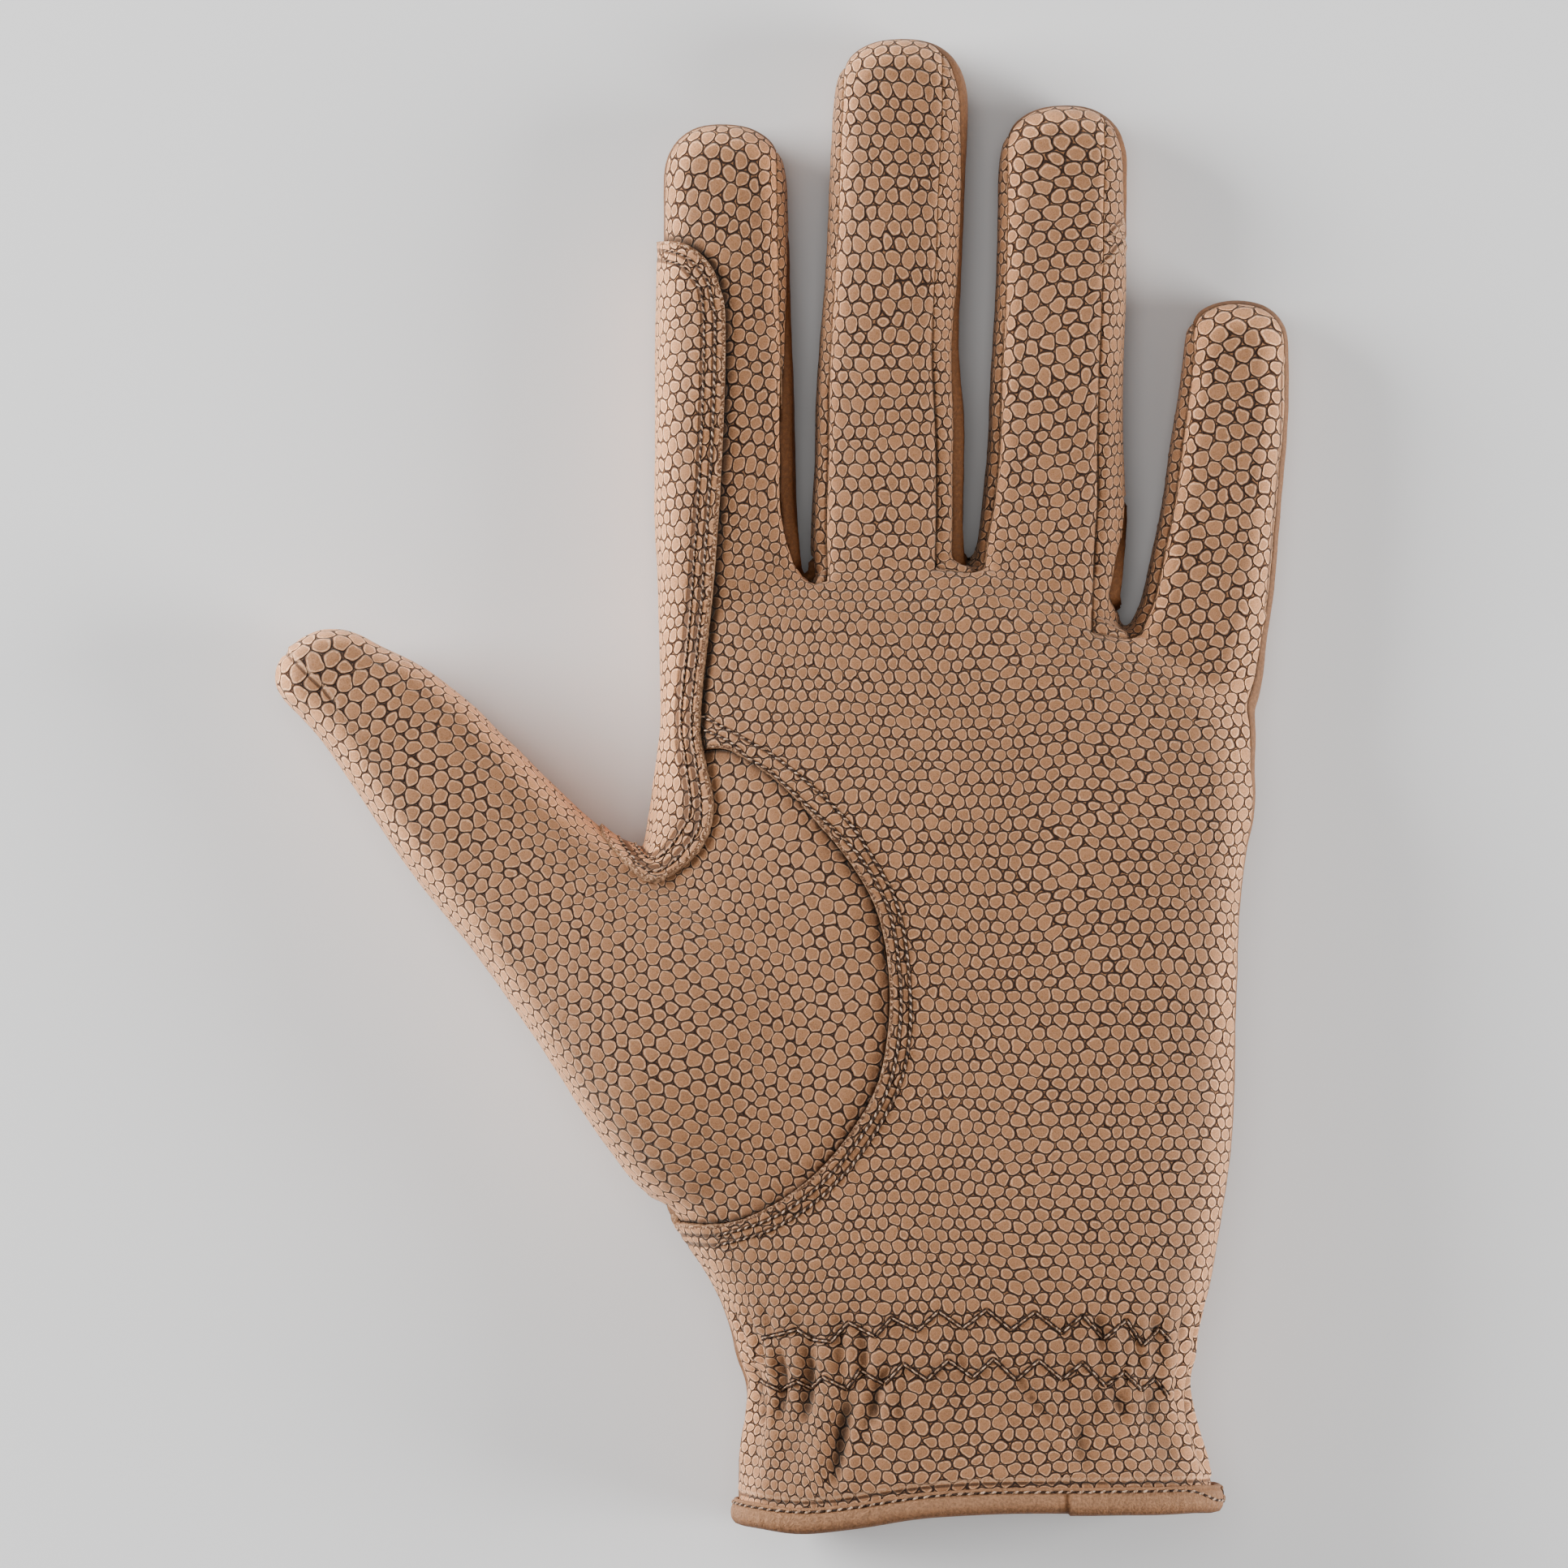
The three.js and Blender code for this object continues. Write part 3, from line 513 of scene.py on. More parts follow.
def vertex_normals(points, faces):
    a, b, c = (points[faces[:, k]] for k in range(3))
    across = np.cross(b - a, c - a)
    normals = np.zeros_like(points)
    for k in range(3):
        for axis in range(3):
            normals[:, axis] += np.bincount(faces[:, k], across[:, axis], len(points))
    return normals / np.linalg.norm(normals, axis=1, keepdims=True)


# Where the thumb's mound and the finger roots are smoothed into the palm: centre, radius
# and rounds.
MOUND_SOFTENED = [((-14.0, -38.0), 34.0, 160), ((5.0, 14.0), 16.0, 30), ((40.0, 14.0), 18.0, 30)]


def floor_at(y):
    """The cuff stands off the rest by the binding that is folded round its hem."""
    return BINDING_STANDOFF * smoothstep(WRIST_Y - y, 0.4 * CUFF_LENGTH, 0.8 * CUFF_LENGTH)


# Where the plain back leather comes into view at the right of a finger: how far along the
# finger, and how broad it looks from above.
BACK_SHOWS = {
    "index": [(-0.03, 0.0), (0.01, 1.9), (0.25, 1.9), (0.47, 1.0), (0.62, 0.3), (0.75, 0.0)],
    "middle": [(-0.03, 0.0), (0.01, 1.75), (0.2, 1.75), (0.4, 0.9), (0.55, 0.3), (0.72, 0.35),
               (0.85, 1.0), (0.93, 1.3), (0.975, 0.7), (1.0, 0.0)],
    "ring": [(-0.03, 0.0), (0.0, 1.5), (0.05, 0.9), (0.12, 0.15), (0.2, 0.0), (0.72, 0.0),
             (0.85, 0.4), (0.93, 0.6), (1.0, 0.0)],
}


def finger_at(one, y):
    """The share along a finger, its middle, half its breadth, its depth and its tip's taper."""
    rows = through_rows(one["rows"], 60)
    share = (y - WEB_Y - one["crotch"] * PALM_LENGTH) / one["length"]
    centre, half, depth = (np.interp(share, rows[:, 0], rows[:, k]) for k in (1, 2, 3))
    t = np.clip((share - rows[-1, 0]) / one["cap"], 0, 1)
    drawn_in = (1 - t**TIP_POWER) ** (1 / TIP_POWER)
    middle = (centre + (one["tip"] - centre) * t) * PALM_BREADTH
    return share, middle, half * one["breadth"] * drawn_in, depth * one["depth"], drawn_in


def back_rise(plan):
    """The height up to which the back leather wraps round the right of the fingers."""
    rise = np.zeros(len(plan))
    for (name, shows), next_name in zip(BACK_SHOWS.items(), ("middle", "ring", "little")):
        share, middle, half, deep, drawn_in = finger_at(FINGERS[name], plan[:, 1])
        _, next_middle, next_half, _, _ = finger_at(FINGERS[next_name], plan[:, 1])
        midway = (middle + half + next_middle - next_half) / 2
        inset = np.interp(share, *np.array(shows).T) / np.maximum(half, 0.1)
        level = (1 - np.clip(1 - inset, 0, 1) ** SECTION_POWER) ** (1 / SECTION_POWER)
        height = (deep - REST_FLAT) / 2 + (deep + REST_FLAT) / 2 * drawn_in * level
        beyond = np.minimum(middle + half + 2.5, midway)
        here = (plan[:, 0] > middle) & (plan[:, 0] < beyond) & (share > shows[0][0])
        here &= (share < shows[-1][0]) & (inset > 0)
        rise = np.where(here, np.maximum(rise, height), rise)
    return rise


hand_points, hand_faces = read_mesh(hand_mesh)
bpy.data.meshes.remove(hand_mesh)
pairs = np.concatenate([hand_faces[:, [0, 1]], hand_faces[:, [1, 2]], hand_faces[:, [2, 0]]])
edges = np.unique(np.sort(pairs, axis=1), axis=0)
neighbours = np.bincount(edges.ravel(), minlength=len(hand_points))
palm_side = smoothstep(hand_points[:, 2], 11, 17)
for (mx, my), radius, rounds in MOUND_SOFTENED:
    off = np.hypot(hand_points[:, 0] - mx, hand_points[:, 1] - my)
    share = palm_side * (1 - smoothstep(off, 0.6 * radius, radius))
    for _ in range(rounds):
        total = np.bincount(edges[:, 0], hand_points[edges[:, 1], 2], len(hand_points))
        total += np.bincount(edges[:, 1], hand_points[edges[:, 0], 2], len(hand_points))
        hand_points[:, 2] += 0.6 * share * (total / neighbours - hand_points[:, 2])
# The melt closes the narrow end of a slot between two fingers. Each slot is drawn down
# again: its place across, where it closed, where it should end, and the palm's edge.
SLOTS_DRAWN_DOWN = [(29.1, 44.6, 35.6, 33.4), (3.9, 38.4, 32.4, 31.2)]
SLOT_LEAN = 0.07
for across, closed, end, edge in SLOTS_DRAWN_DOWN:
    near = 1 - smoothstep(np.abs(hand_points[:, 0] - across), 0.8, 2.2)
    down = np.interp(hand_points[:, 1], (edge, closed, closed + 12), (0, end - closed, 0))
    hand_points[:, 1] += near * down
    hand_points[:, 0] += near * down * SLOT_LEAN
rest = floor_at(hand_points[:, 1])
above = hand_points[:, 2] - rest
hand_points[:, 2] = rest + (above + np.sqrt(above**2 + 0.2)) / 2
hand_normals = vertex_normals(hand_points, hand_faces)

x, y, z = hand_points.T
plan = hand_points[:, :2]
split = np.interp((y - WRIST_Y) / PALM_LENGTH, SIDE_SEAM[:, 0], SIDE_SEAM[:, 1]) * PALM_DEPTH
upper = smoothstep(z - split, -2.5, 2.5)
wrapped = back_rise(plan)
# The back leather wraps up round some fingers, so the side seam rises there. The flank is
# measured without that rise.
fields = {
    "side": z - np.maximum(split, wrapped),
    "flank": z - split,
    "thumb": inside_by(thumb_front, plan) * upper + inside_by(thumb_back, plan) * (1 - upper),
    "patch": np.minimum(inside_by(patch_outline, plan), z - PATCH_FLOOR),
    "hem": y - HEM_Y - sway(x, np.full_like(x, HEM_Y)),
}
for name, (left, right) in NEIGHBOURS.items():
    low = GUSSET_FLOOR * min(FINGERS[left]["depth"], FINGERS[right]["depth"])
    fields[name] = np.minimum(inside_by(gusset_plans[name], plan), z - np.maximum(low, wrapped))
print("fields", list(fields))


# %% [markdown]
# A field measured in plan changes too slowly on a steep side. Dividing it by its own
# slope along the skin turns it into a distance on the leather, in millimetres.

# %% Distances along the skin
REACH = 16.0


def skin_distance(values, points, faces):
    """A field's distance from its own zero, measured along the surface."""
    a, b, c = (points[faces[:, k]] for k in range(3))
    across = np.cross(b - a, c - a)
    size = np.linalg.norm(across, axis=1) + 1e-12
    va, vb, vc = (values[faces[:, k]] for k in range(3))
    turned = va[:, None] * (c - b) + vb[:, None] * (a - c) + vc[:, None] * (b - a)
    slope = np.linalg.norm(turned, axis=1) / size
    total = sum(np.bincount(faces[:, k], slope * size, len(points)) for k in range(3))
    weight = sum(np.bincount(faces[:, k], size, len(points)) for k in range(3))
    return np.clip(values / np.maximum(total / weight, 0.1), -REACH, REACH)


distances = {name: skin_distance(one, hand_points, hand_faces) for name, one in fields.items()}
print("distances known to", REACH, "mm")


# %% Cutting a panel out of the hand
def cut(level, faces, carried):
    """The faces where level is above zero, split along its zero, with all carried values."""
    above = level > 0
    count = above[faces].sum(1)
    whole = faces[count == 3]
    mixed = faces[(count == 1) | (count == 2)]
    lone = count[(count == 1) | (count == 2)] == 1
    odd = np.argmax(above[mixed] == lone[:, None], axis=1)
    turned = np.stack([mixed[np.arange(len(mixed)), (odd + k) % 3] for k in range(3)], 1)
    edges = np.sort(np.concatenate([turned[:, [0, 1]], turned[:, [0, 2]]]), axis=1)
    edges, index = np.unique(edges, axis=0, return_inverse=True)
    index = index.ravel() + len(level)
    first, second = index[: len(mixed)], index[len(mixed):]
    start, end = level[edges[:, 0]], level[edges[:, 1]]
    share = np.clip(start / (start - end), 0.03, 0.97)
    odd_v, next_v, last_v = turned.T
    made = [
        whole,
        np.stack([odd_v, first, second], 1)[lone],
        np.stack([first, next_v, last_v], 1)[~lone],
        np.stack([first, last_v, second], 1)[~lone],
    ]
    made = np.concatenate(made)
    used, made = np.unique(made, return_inverse=True)
    result = {}
    for name, values in carried.items():
        step = share[:, None] if values.ndim == 2 else share
        between = values[edges[:, 0]] * (1 - step) + values[edges[:, 1]] * step
        result[name] = np.concatenate([values, between])[used]
    return made.reshape(-1, 3), result


GAP = 0.06
gusset_names = list(NEIGHBOURS)
not_gusset = -np.max([fields[name] for name in gusset_names], axis=0)
hem, thumb_field, side = fields["hem"], fields["thumb"], fields["side"]
levels = {
    "palm_panel": np.min([side, -thumb_field, not_gusset, hem], axis=0) - GAP,
    "back_panel": np.min([-side, -thumb_field, not_gusset, hem], axis=0) - GAP,
    "thumb": thumb_field - GAP,
    "index_patch": fields["patch"],
}
for name in gusset_names:
    levels[name] = fields[name] - GAP
carried = {"co": hand_points, "normal": hand_normals, "height": hand_points[:, 2], **distances}
panels = {name: cut(level, hand_faces, carried) for name, level in levels.items()}
print("panels", {name: len(faces) for name, (faces, _) in panels.items()})

# %% [markdown]
# ## Relief of the leather
# A panel that is sewn over its neighbour stands proud at its edge, and one that is
# turned in at a seam sinks into a crease with a soft shoulder beside it. Elastic behind
# the wrist pulls the leather into puckers. Each is a small move along the normal, worked
# out from the seam distances and from the place on the hand.


# %% Creases, laps and puckers
def bell(value, at, width):
    return np.exp(-(((value - at) / width) ** 2))


def crease(distance, depth=0.8):
    return 0.3 * depth * bell(distance, 1.9, 1.1) - depth * bell(distance, 0, 0.9)


def waves(points, length, seed):
    """Slow unevenness, between -1 and 1, with humps about so long."""
    rng = np.random.default_rng(seed)
    total = np.zeros(len(points))
    for _ in range(7):
        way = rng.normal(size=3)
        way *= rng.uniform(0.7, 1.4) * 2 * np.pi / length / np.linalg.norm(way)
        total += np.sin(points @ way + rng.uniform(0, 2 * np.pi))
    return total / 4


# The cuff is an oval: its middle across, half its breadth, and how high its middle lies.
CUFF_ACROSS, CUFF_REACH, CUFF_MIDDLE = 28.0, 34.0, 17.0
# The gathers fade in between the first two heights and out between the last two.
PUCKER_BAND = (-100.0, -94.5, -83.5, -77.0)
# Folds on the palm side: start, end, depth and half width, in millimetres.
FOLDS = [
    ((9.8, -93.5), (7.5, -106.5), 1.25, 1.15),
    ((14.3, -91.5), (13.8, -97.5), 1.2, 0.9),
    ((12.6, -95.5), (11.9, -101.0), 0.6, 0.8),
    ((17.8, -94.5), (18.6, -103.0), 0.5, 1.1),
    ((15.8, -88.5), (15.2, -92.5), 0.9, 0.8),
    ((4.6, -83.5), (3.4, -97.0), 0.8, 0.8),
    ((0.2, -84.5), (-0.6, -98.0), 0.8, 0.8),
    ((-3.4, -84.5), (-3.6, -97.0), 0.7, 0.8),
    ((8.4, -82.0), (9.2, -92.5), 0.8, 0.8),
    ((12.2, -83.0), (12.4, -90.5), 0.7, 0.7),
    ((36.0, -91.5), (42.3, -99.5), 0.8, 0.8),
    ((44.8, -97.0), (45.6, -104.0), 0.5, 1.2),
    ((49.5, -91.5), (51.8, -96.5), 0.9, 0.9),
    ((48.2, -82.0), (49.4, -89.0), 0.7, 0.8),
    ((53.6, -83.5), (54.6, -92.5), 0.8, 0.8),
    ((57.4, -82.5), (57.2, -94.0), 0.7, 0.8),
    ((26.0, -84.0), (27.4, -90.0), 0.5, 0.8),
]


BETWEEN_ZIGZAGS = -88.2


def wrist_band(y):
    return smoothstep(y, *PUCKER_BAND[:2]) * (1 - smoothstep(y, *PUCKER_BAND[2:]))


def puckers(points):
    """Pleats that the elastic gathers round the wrist, and slow waves in the flared cuff."""
    x, y, z = points.T
    round_wrist = np.arctan2((z - CUFF_MIDDLE) / CUFF_MIDDLE, (x - CUFF_ACROSS) / CUFF_REACH)
    along = round_wrist * 29
    phase = along * 2 * np.pi / 5.6 + 1.7 * np.sin(along / 4.1) + 0.5 * np.sin(y / 2.5)
    band = wrist_band(y)
    strength = 0.3 + 0.7 * np.cos(round_wrist) ** 2
    pinch = (0.5 + 0.5 * np.cos(phase)) ** 3
    swell = bell(y, BETWEEN_ZIGZAGS, 3.0)
    flared = smoothstep(y, -109, -102) * (1 - smoothstep(y, -98, -90)) * strength
    wave = 0.55 * flared * np.sin(along * 2 * np.pi / 10.5 + 0.8 * np.sin(along / 6) + 0.6)
    return band * (0.25 - strength * 0.95 * pinch) + 0.5 * swell * band + wave


FOLDS_ABOVE = 12


def folds(points):
    """Single folds on the palm side, each with a soft shoulder at both its sides."""
    total = np.zeros(len(points))
    for start, end, depth, width in FOLDS:
        start, way = np.array(start), np.subtract(end, start)
        t = np.clip((points[:, :2] - start) @ way / (way @ way), 0, 1)
        off = np.hypot(*(points[:, :2] - start - t[:, None] * way).T)
        deep = 0.45 + 0.55 * np.sin(np.pi * t)
        total += deep * (0.35 * depth * bell(off, 2.1 * width, width) - depth * bell(off, 0, width))
    return total * (points[:, 2] > FOLDS_ABOVE)


LAP = 0.75
PATCH_RISE, PATCH_LEATHER = 1.15, 0.9
ROW_DENT, SEWN_LINE_DENT, SEWN_LINE_RIDGE = 0.16, 0.4, 0.22
# Short sewn lines that are no edge of a panel: the thumb's tip, two bars on the ring
# finger's strip, and the outer seam of the little finger.
LOOSE_SEAMS = [
    [(-77.8, 21.2), (-75.5, 18.9), (-72.6, 16.0), (-70.75, 14.3), (-69.0, 12.0)],
    [(52.1, 86.9), (49.9, 84.5)],
    [(51.6, 83.1), (49.7, 80.9)],
    [(77.0, 64.5), (76.75, 50.75), (75.6, 39.5), (74.3, 27.0)],
]
ROWS_OF = {"palm_panel": ("thumb_row_outer", "thumb_row_inner"),
           "index_patch": ("patch_row_outer", "patch_row_inner")}


def line_distance(points):
    """How far a point is from the nearest loose seam, with a sign for its side."""
    nearest, side = np.full(len(points), REACH), np.ones(len(points))
    plan = points[:, :2]
    for line in LOOSE_SEAMS:
        for a, b in zip(np.array(line[:-1]), np.array(line[1:])):
            way = b - a
            t = np.clip((plan - a) @ way / (way @ way), 0, 1)
            off = np.hypot(*(plan - a - t[:, None] * way).T)
            turned = way[0] * (plan[:, 1] - a[1]) - way[1] * (plan[:, 0] - a[0])
            side = np.where(off < nearest, np.sign(turned), side)
            nearest = np.minimum(nearest, off)
    return np.where(points[:, 2] > 6, nearest * side, REACH)


def relief_of(name, data):
    """How far each point of a panel moves out along its normal, in millimetres."""
    points = data["co"]
    shallow = 1 - 0.7 * smoothstep(points[:, 1], 48, 84)
    stitched_in = ROW_DENT * (bell(data["row_one"], 0, 0.5) + bell(data["row_two"], 0, 0.5))
    stitched_in = stitched_in + SEWN_LINE_DENT * bell(data["line"], 0, 0.45)
    stitched_in = stitched_in - SEWN_LINE_RIDGE * bell(data["line"], 1.0, 0.5)
    gusset = -np.max([data[one] for one in gusset_names], axis=0)
    upper_side = smoothstep(data["side"], -2.0, 2.0)
    gathered = puckers(points) + 0.16 * waves(points, 26, 3) + 0.05 * waves(points, 7, 4)
    if name == "palm_panel":
        lap = LAP * bell(np.maximum(-data["thumb"], 0), 0, 3.8) - stitched_in
        lap = lap + shallow * crease(gusset, 0.6)
        return lap + shallow * crease(data["side"], 0.5) + gathered + folds(points)
    if name == "back_panel":
        seams = crease(gusset, 0.6) + crease(-data["side"], 0.5)
        return crease(-data["thumb"]) + shallow * seams + gathered
    if name == "thumb":
        sunk = 0.3 * bell(data["thumb"], 0, 2.2) * upper_side
        return gathered - sunk + (1 - upper_side) * crease(data["thumb"]) - stitched_in
    if name == "index_patch":
        over_lap = 0.5 * bell(data["thumb"], 0, 3.5) * upper_side
        thinned = 0.45 * smoothstep(-points[:, 0], 19, 25) * smoothstep(-points[:, 1], 5, 11)
        thinned = thinned + 0.5 * smoothstep(-points[:, 0], 23.5, 27.5) * smoothstep(-points[:, 1], 1, 5)
        return PATCH_RISE + over_lap * (1 - thinned) - thinned + gathered - stitched_in
    return shallow * crease(data[name], 0.5) + gathered - stitched_in


def shadow_of(name, data):
    """Painted shade and shadow: beside and under a lap, in folds, over the wrist's pleats and between the
    fingers.
    """
    # Painted shade over the whole wrist band, deeper in its pleats and in the folds.
    wrist_shade = 0.22 * wrist_band(data["co"][:, 1])
    sunk = np.clip((wrist_shade - puckers(data["co"]) - folds(data["co"])) * 0.85, 0, 0.8)
    sunk = np.maximum(sunk, wrist_shade)
    if name == "palm_panel":
        # Painted shadow on the palm beside the raised patch's edge.
        beside = bell(np.minimum(data["patch"], 0), 0, 1.1)
        return np.maximum(sunk, beside * (data["height"] > 6))
    if name == "thumb":
        upper_side = smoothstep(data["side"], -1.0, 2.0)
        # Painted shadow on the thumb under the palm panel's lapped edge, fading away from it.
        far = np.maximum(data["thumb"], 0)
        under_lap = upper_side * (0.8 * np.exp(-far / 0.5) + 0.35 * np.exp(-far / 2.4))
        return np.maximum(sunk, np.minimum(under_lap, 1))
    if name == "back_panel":
        # Painted shade on the back leather between the fingers, darker toward the crotch.
        rise = back_rise(data["co"][:, :2])
        between_fingers = smoothstep(data["height"], rise - 6, rise - 1) * (rise > 0)
        return between_fingers * (1.0 - 0.5 * smoothstep(data["co"][:, 1], 35, 85))
    return sunk


def tip_highlight(name, data):
    """Painted highlight on a finger's strip and its seam toward the tip, where they would catch the light.
    """
    gusset = np.max([data[one] for one in gusset_names], axis=0)
    strip = smoothstep(gusset, -1.2, -0.5)
    return strip * smoothstep(data["co"][:, 1], 48, 84) * (data["height"] > 7)


# A thin line is pressed into the cuff above the binding, this far from the hem.
PRESSED_LINE = 3.6


for name, (_, data) in panels.items():
    data["line"] = line_distance(data["co"])
    if name == "palm_panel":
        from_hem = data["hem"] - PRESSED_LINE
        data["line"] = np.where(np.abs(from_hem) < np.abs(data["line"]), from_hem, data["line"])
    for key, row in zip(("row_one", "row_two"), ROWS_OF.get(name, (None, None))):
        outline = row_outlines.get(row)
        far = np.full(len(data["co"]), REACH)
        data[key] = far if outline is None else np.clip(inside_by(outline, data["co"][:, :2]), -REACH, REACH)
reliefs = {name: relief_of(name, data) for name, (_, data) in panels.items()}
print("relief from", round(min(one.min() for one in reliefs.values()), 2), "mm")

# %% [markdown]
# ## A flat pattern on a curved panel
# The scales are pressed into the leather while it is flat, before it is cut. So each
# panel gets a UV map by flattening it with little stretch, and the map is then scaled to
# millimetres and turned until up on the map is up on the hand. A pattern in UV space
# keeps its true size anywhere on the glove.


# %% Panels become objects
def unwrap(piece):
    bpy.context.view_layer.objects.active = piece
    bpy.ops.object.mode_set(mode="EDIT")
    bpy.ops.mesh.select_all(action="SELECT")
    bpy.ops.uv.unwrap(method="ANGLE_BASED", margin=0)
    bpy.ops.object.mode_set(mode="OBJECT")


def map_in_mm(mesh, points, faces, seen):
    """Scales the map to millimetres, and turns it to the plan of the seen points."""
    layer = mesh.uv_layers[0]
    layer.name = "leather"
    flat = np.empty(len(mesh.loops) * 2, dtype=np.float32)
    layer.uv.foreach_get("vector", flat)
    flat = flat.reshape(-1, 2).astype(float)
    corners = faces.ravel()
    use = seen[corners]
    a, b, c = (points[faces[:, k]] for k in range(3))
    real = np.linalg.norm(np.cross(b - a, c - a), axis=1)
    one, two, three = (flat.reshape(-1, 3, 2)[:, k] for k in range(3))
    drawn = np.abs(np.cross(two - one, three - one))
    share = seen[faces].all(1)
    flat *= math.sqrt(real[share].sum() / drawn[share].sum())
    from_map = flat[use] - flat[use].mean(0)
    to_plan_of = points[corners[use], :2] - points[corners[use], :2].mean(0)
    u, _, vt = np.linalg.svd(from_map.T @ to_plan_of)
    flat = (flat - flat[use].mean(0)) @ u @ vt + points[corners[use], :2].mean(0)
    layer.uv.foreach_set("vector", flat.astype(np.float32).ravel())


# Nothing lies lower than this over the table.
LOWEST = 0.02


def in_frame(points):
    """Metres in the frame, from millimetres on the hand."""
    return (points + FRAME_SHIFT) * MM


def panel_object(name, split_at=None):
    faces, data = panels[name]
    points = data["co"] + data["normal"] * reliefs[name][:, None]
    points[:, 2] = np.maximum(points[:, 2], LOWEST)
    mesh = bpy.data.meshes.new(f"{name}_leather")
    mesh.from_pydata(in_frame(points).tolist(), [], faces.tolist())
    mesh.shade_smooth()
    piece = bpy.data.objects.new(f"{name}_leather", mesh)
    bpy.context.scene.collection.objects.link(piece)
    if split_at is not None:
        mark_seams(mesh, split_at[faces].mean(1) > 0)
    unwrap(piece)
    seen = data["normal"][:, 2] * (-1 if name == "back_panel" else 1) > 0.6
    map_in_mm(mesh, points, faces, seen)
    drawn = ("thumb", "side", "flank", "patch", "row_one", "row_two", "line")
    marks = {f"{key}_mm": data[key] for key in drawn}
    marks["gusset_mm"] = np.max([data[one] for one in gusset_names], axis=0)
    marks["none_mm"] = np.full(len(points), REACH)
    # The shadow mark carries painted shade and the pale mark a painted highlight to the materials.
    marks["shadow"] = shadow_of(name, data)
    marks["pale"] = tip_highlight(name, data)
    for key, values in marks.items():
        mark = mesh.attributes.new(key, "FLOAT", "POINT")
        mark.data.foreach_set("value", values.astype(np.float32))
    return piece, points


def mark_seams(mesh, upper_faces):
    """Marks the edges where faces of the upper half meet the lower half."""
    edge_of = np.empty(len(mesh.loops), dtype=np.int32)
    mesh.loops.foreach_get("edge_index", edge_of)
    face_side = np.repeat(upper_faces, 3).astype(int)
    total = np.bincount(edge_of, face_side, len(mesh.edges))
    count = np.bincount(edge_of, minlength=len(mesh.edges))
    mesh.edges.foreach_set("use_seam", (count == 2) & (total == 1))


thumb_data = panels["thumb"][1]
axis = np.array([math.cos(THUMB_TURN), math.sin(THUMB_TURN)])
reach = (thumb_data["co"][:, :2] - THUMB_ROOT) @ axis / THUMB_LENGTH
middle = np.interp(
    reach, THUMB_ROWS[:, 0], THUMB_ROWS[:, 4] * THUMB_LIFT + THUMB_ROWS[:, 3] * THUMB_DEPTH / 2
)
thumb_half = thumb_data["co"][:, 2] - middle

glove, surfaces = {}, {}
for name in panels:
    glove[name], surfaces[name] = panel_object(name, thumb_half if name == "thumb" else None)
print("panels made:", list(glove))

# %% [markdown]
# ## A small language for nodes
# Node trees are easier to read as formulas. The Wire below stands for a socket's value,
# and adding or multiplying wires adds the Math nodes. Tree.node makes any other node from
# its type, its settings and the values or wires for its sockets.


# %% Wires and trees
class Wire:
    """A value in a node tree, on which arithmetic adds Math nodes."""

    def __init__(self, tree, socket):
        self.tree = tree
        self.socket = socket

    def math(self, operation, *others):
        values = {i: one for i, one in enumerate((self, *others))}
        return self.tree.node("ShaderNodeMath", {"operation": operation}, values)

    def __add__(self, other):
        return self.math("ADD", other)

    __radd__ = __add__

    def __mul__(self, other):
        return self.math("MULTIPLY", other)

    __rmul__ = __mul__

    def __sub__(self, other):
        return self.math("SUBTRACT", other)

    def __rsub__(self, other):
        return (self * -1) + other

    def __truediv__(self, other):
        return self.math("DIVIDE", other)

    def __abs__(self):
        return self.math("ABSOLUTE")

    def least(self, other):
        return self.math("MINIMUM", other)

    def most(self, other):
        return self.math("MAXIMUM", other)

    def ramp(self, low, high, start=0.0, end=1.0):
        """Eases from start to end as the value goes from low to high."""
        settings = {"interpolation_type": "SMOOTHSTEP"}
        return self.tree.node("ShaderNodeMapRange", settings, {0: self, 1: low, 2: high, 3: start, 4: end})


class Tree:
    """A node tree, and one way to add any node to it."""

    def __init__(self, node_tree):
        self.nodes = node_tree.nodes
        self.links = node_tree.links

    def node(self, kind, settings=None, values=None, output=0):
        made = self.nodes.new(kind)
        for key, value in (settings or {}).items():
            setattr(made, key, value)
        for key, value in (values or {}).items():
            if isinstance(value, Wire):
                self.links.new(value.socket, made.inputs[key])
            else:
                made.inputs[key].default_value = value
        return Wire(self, made.outputs[output]) if len(made.outputs) else None

    def also(self, wire, output):
        """Another output of the node that a wire comes from."""
        return Wire(self, wire.socket.node.outputs[output])

    def colour(self, factor, low, high):
        low, high = (one if isinstance(one, Wire) else (*one, 1) for one in (low, high))
        return self.node("ShaderNodeMix", {"data_type": "RGBA"}, {0: factor, 6: low, 7: high}, 2)

    def shade(self, colour, share):
        """A colour made lighter or darker by a factor."""
        grey = self.node("ShaderNodeCombineXYZ", {}, {0: share, 1: share, 2: share})
        return self.node("ShaderNodeMix", {"data_type": "RGBA", "blend_type": "MULTIPLY"},
                         {0: 1.0, 6: colour, 7: grey}, 2)

    def noise(self, vector, scale, detail=2.0, roughness=0.5):
        values = {"Vector": vector, "Scale": scale, "Detail": detail, "Roughness": roughness}
        return self.node("ShaderNodeTexNoise", {}, values)

    def vector(self, operation, *values, output=0):
        given = dict(enumerate(values))
        return self.node("ShaderNodeVectorMath", {"operation": operation}, given, output)

    def distance(self, name):
        return self.node("ShaderNodeAttribute", {"attribute_name": name}, {}, "Fac")


def new_material(name):
    material = bpy.data.materials.new(name)
    material.use_nodes = True
    material.node_tree.nodes.clear()
    return material, Tree(material.node_tree)


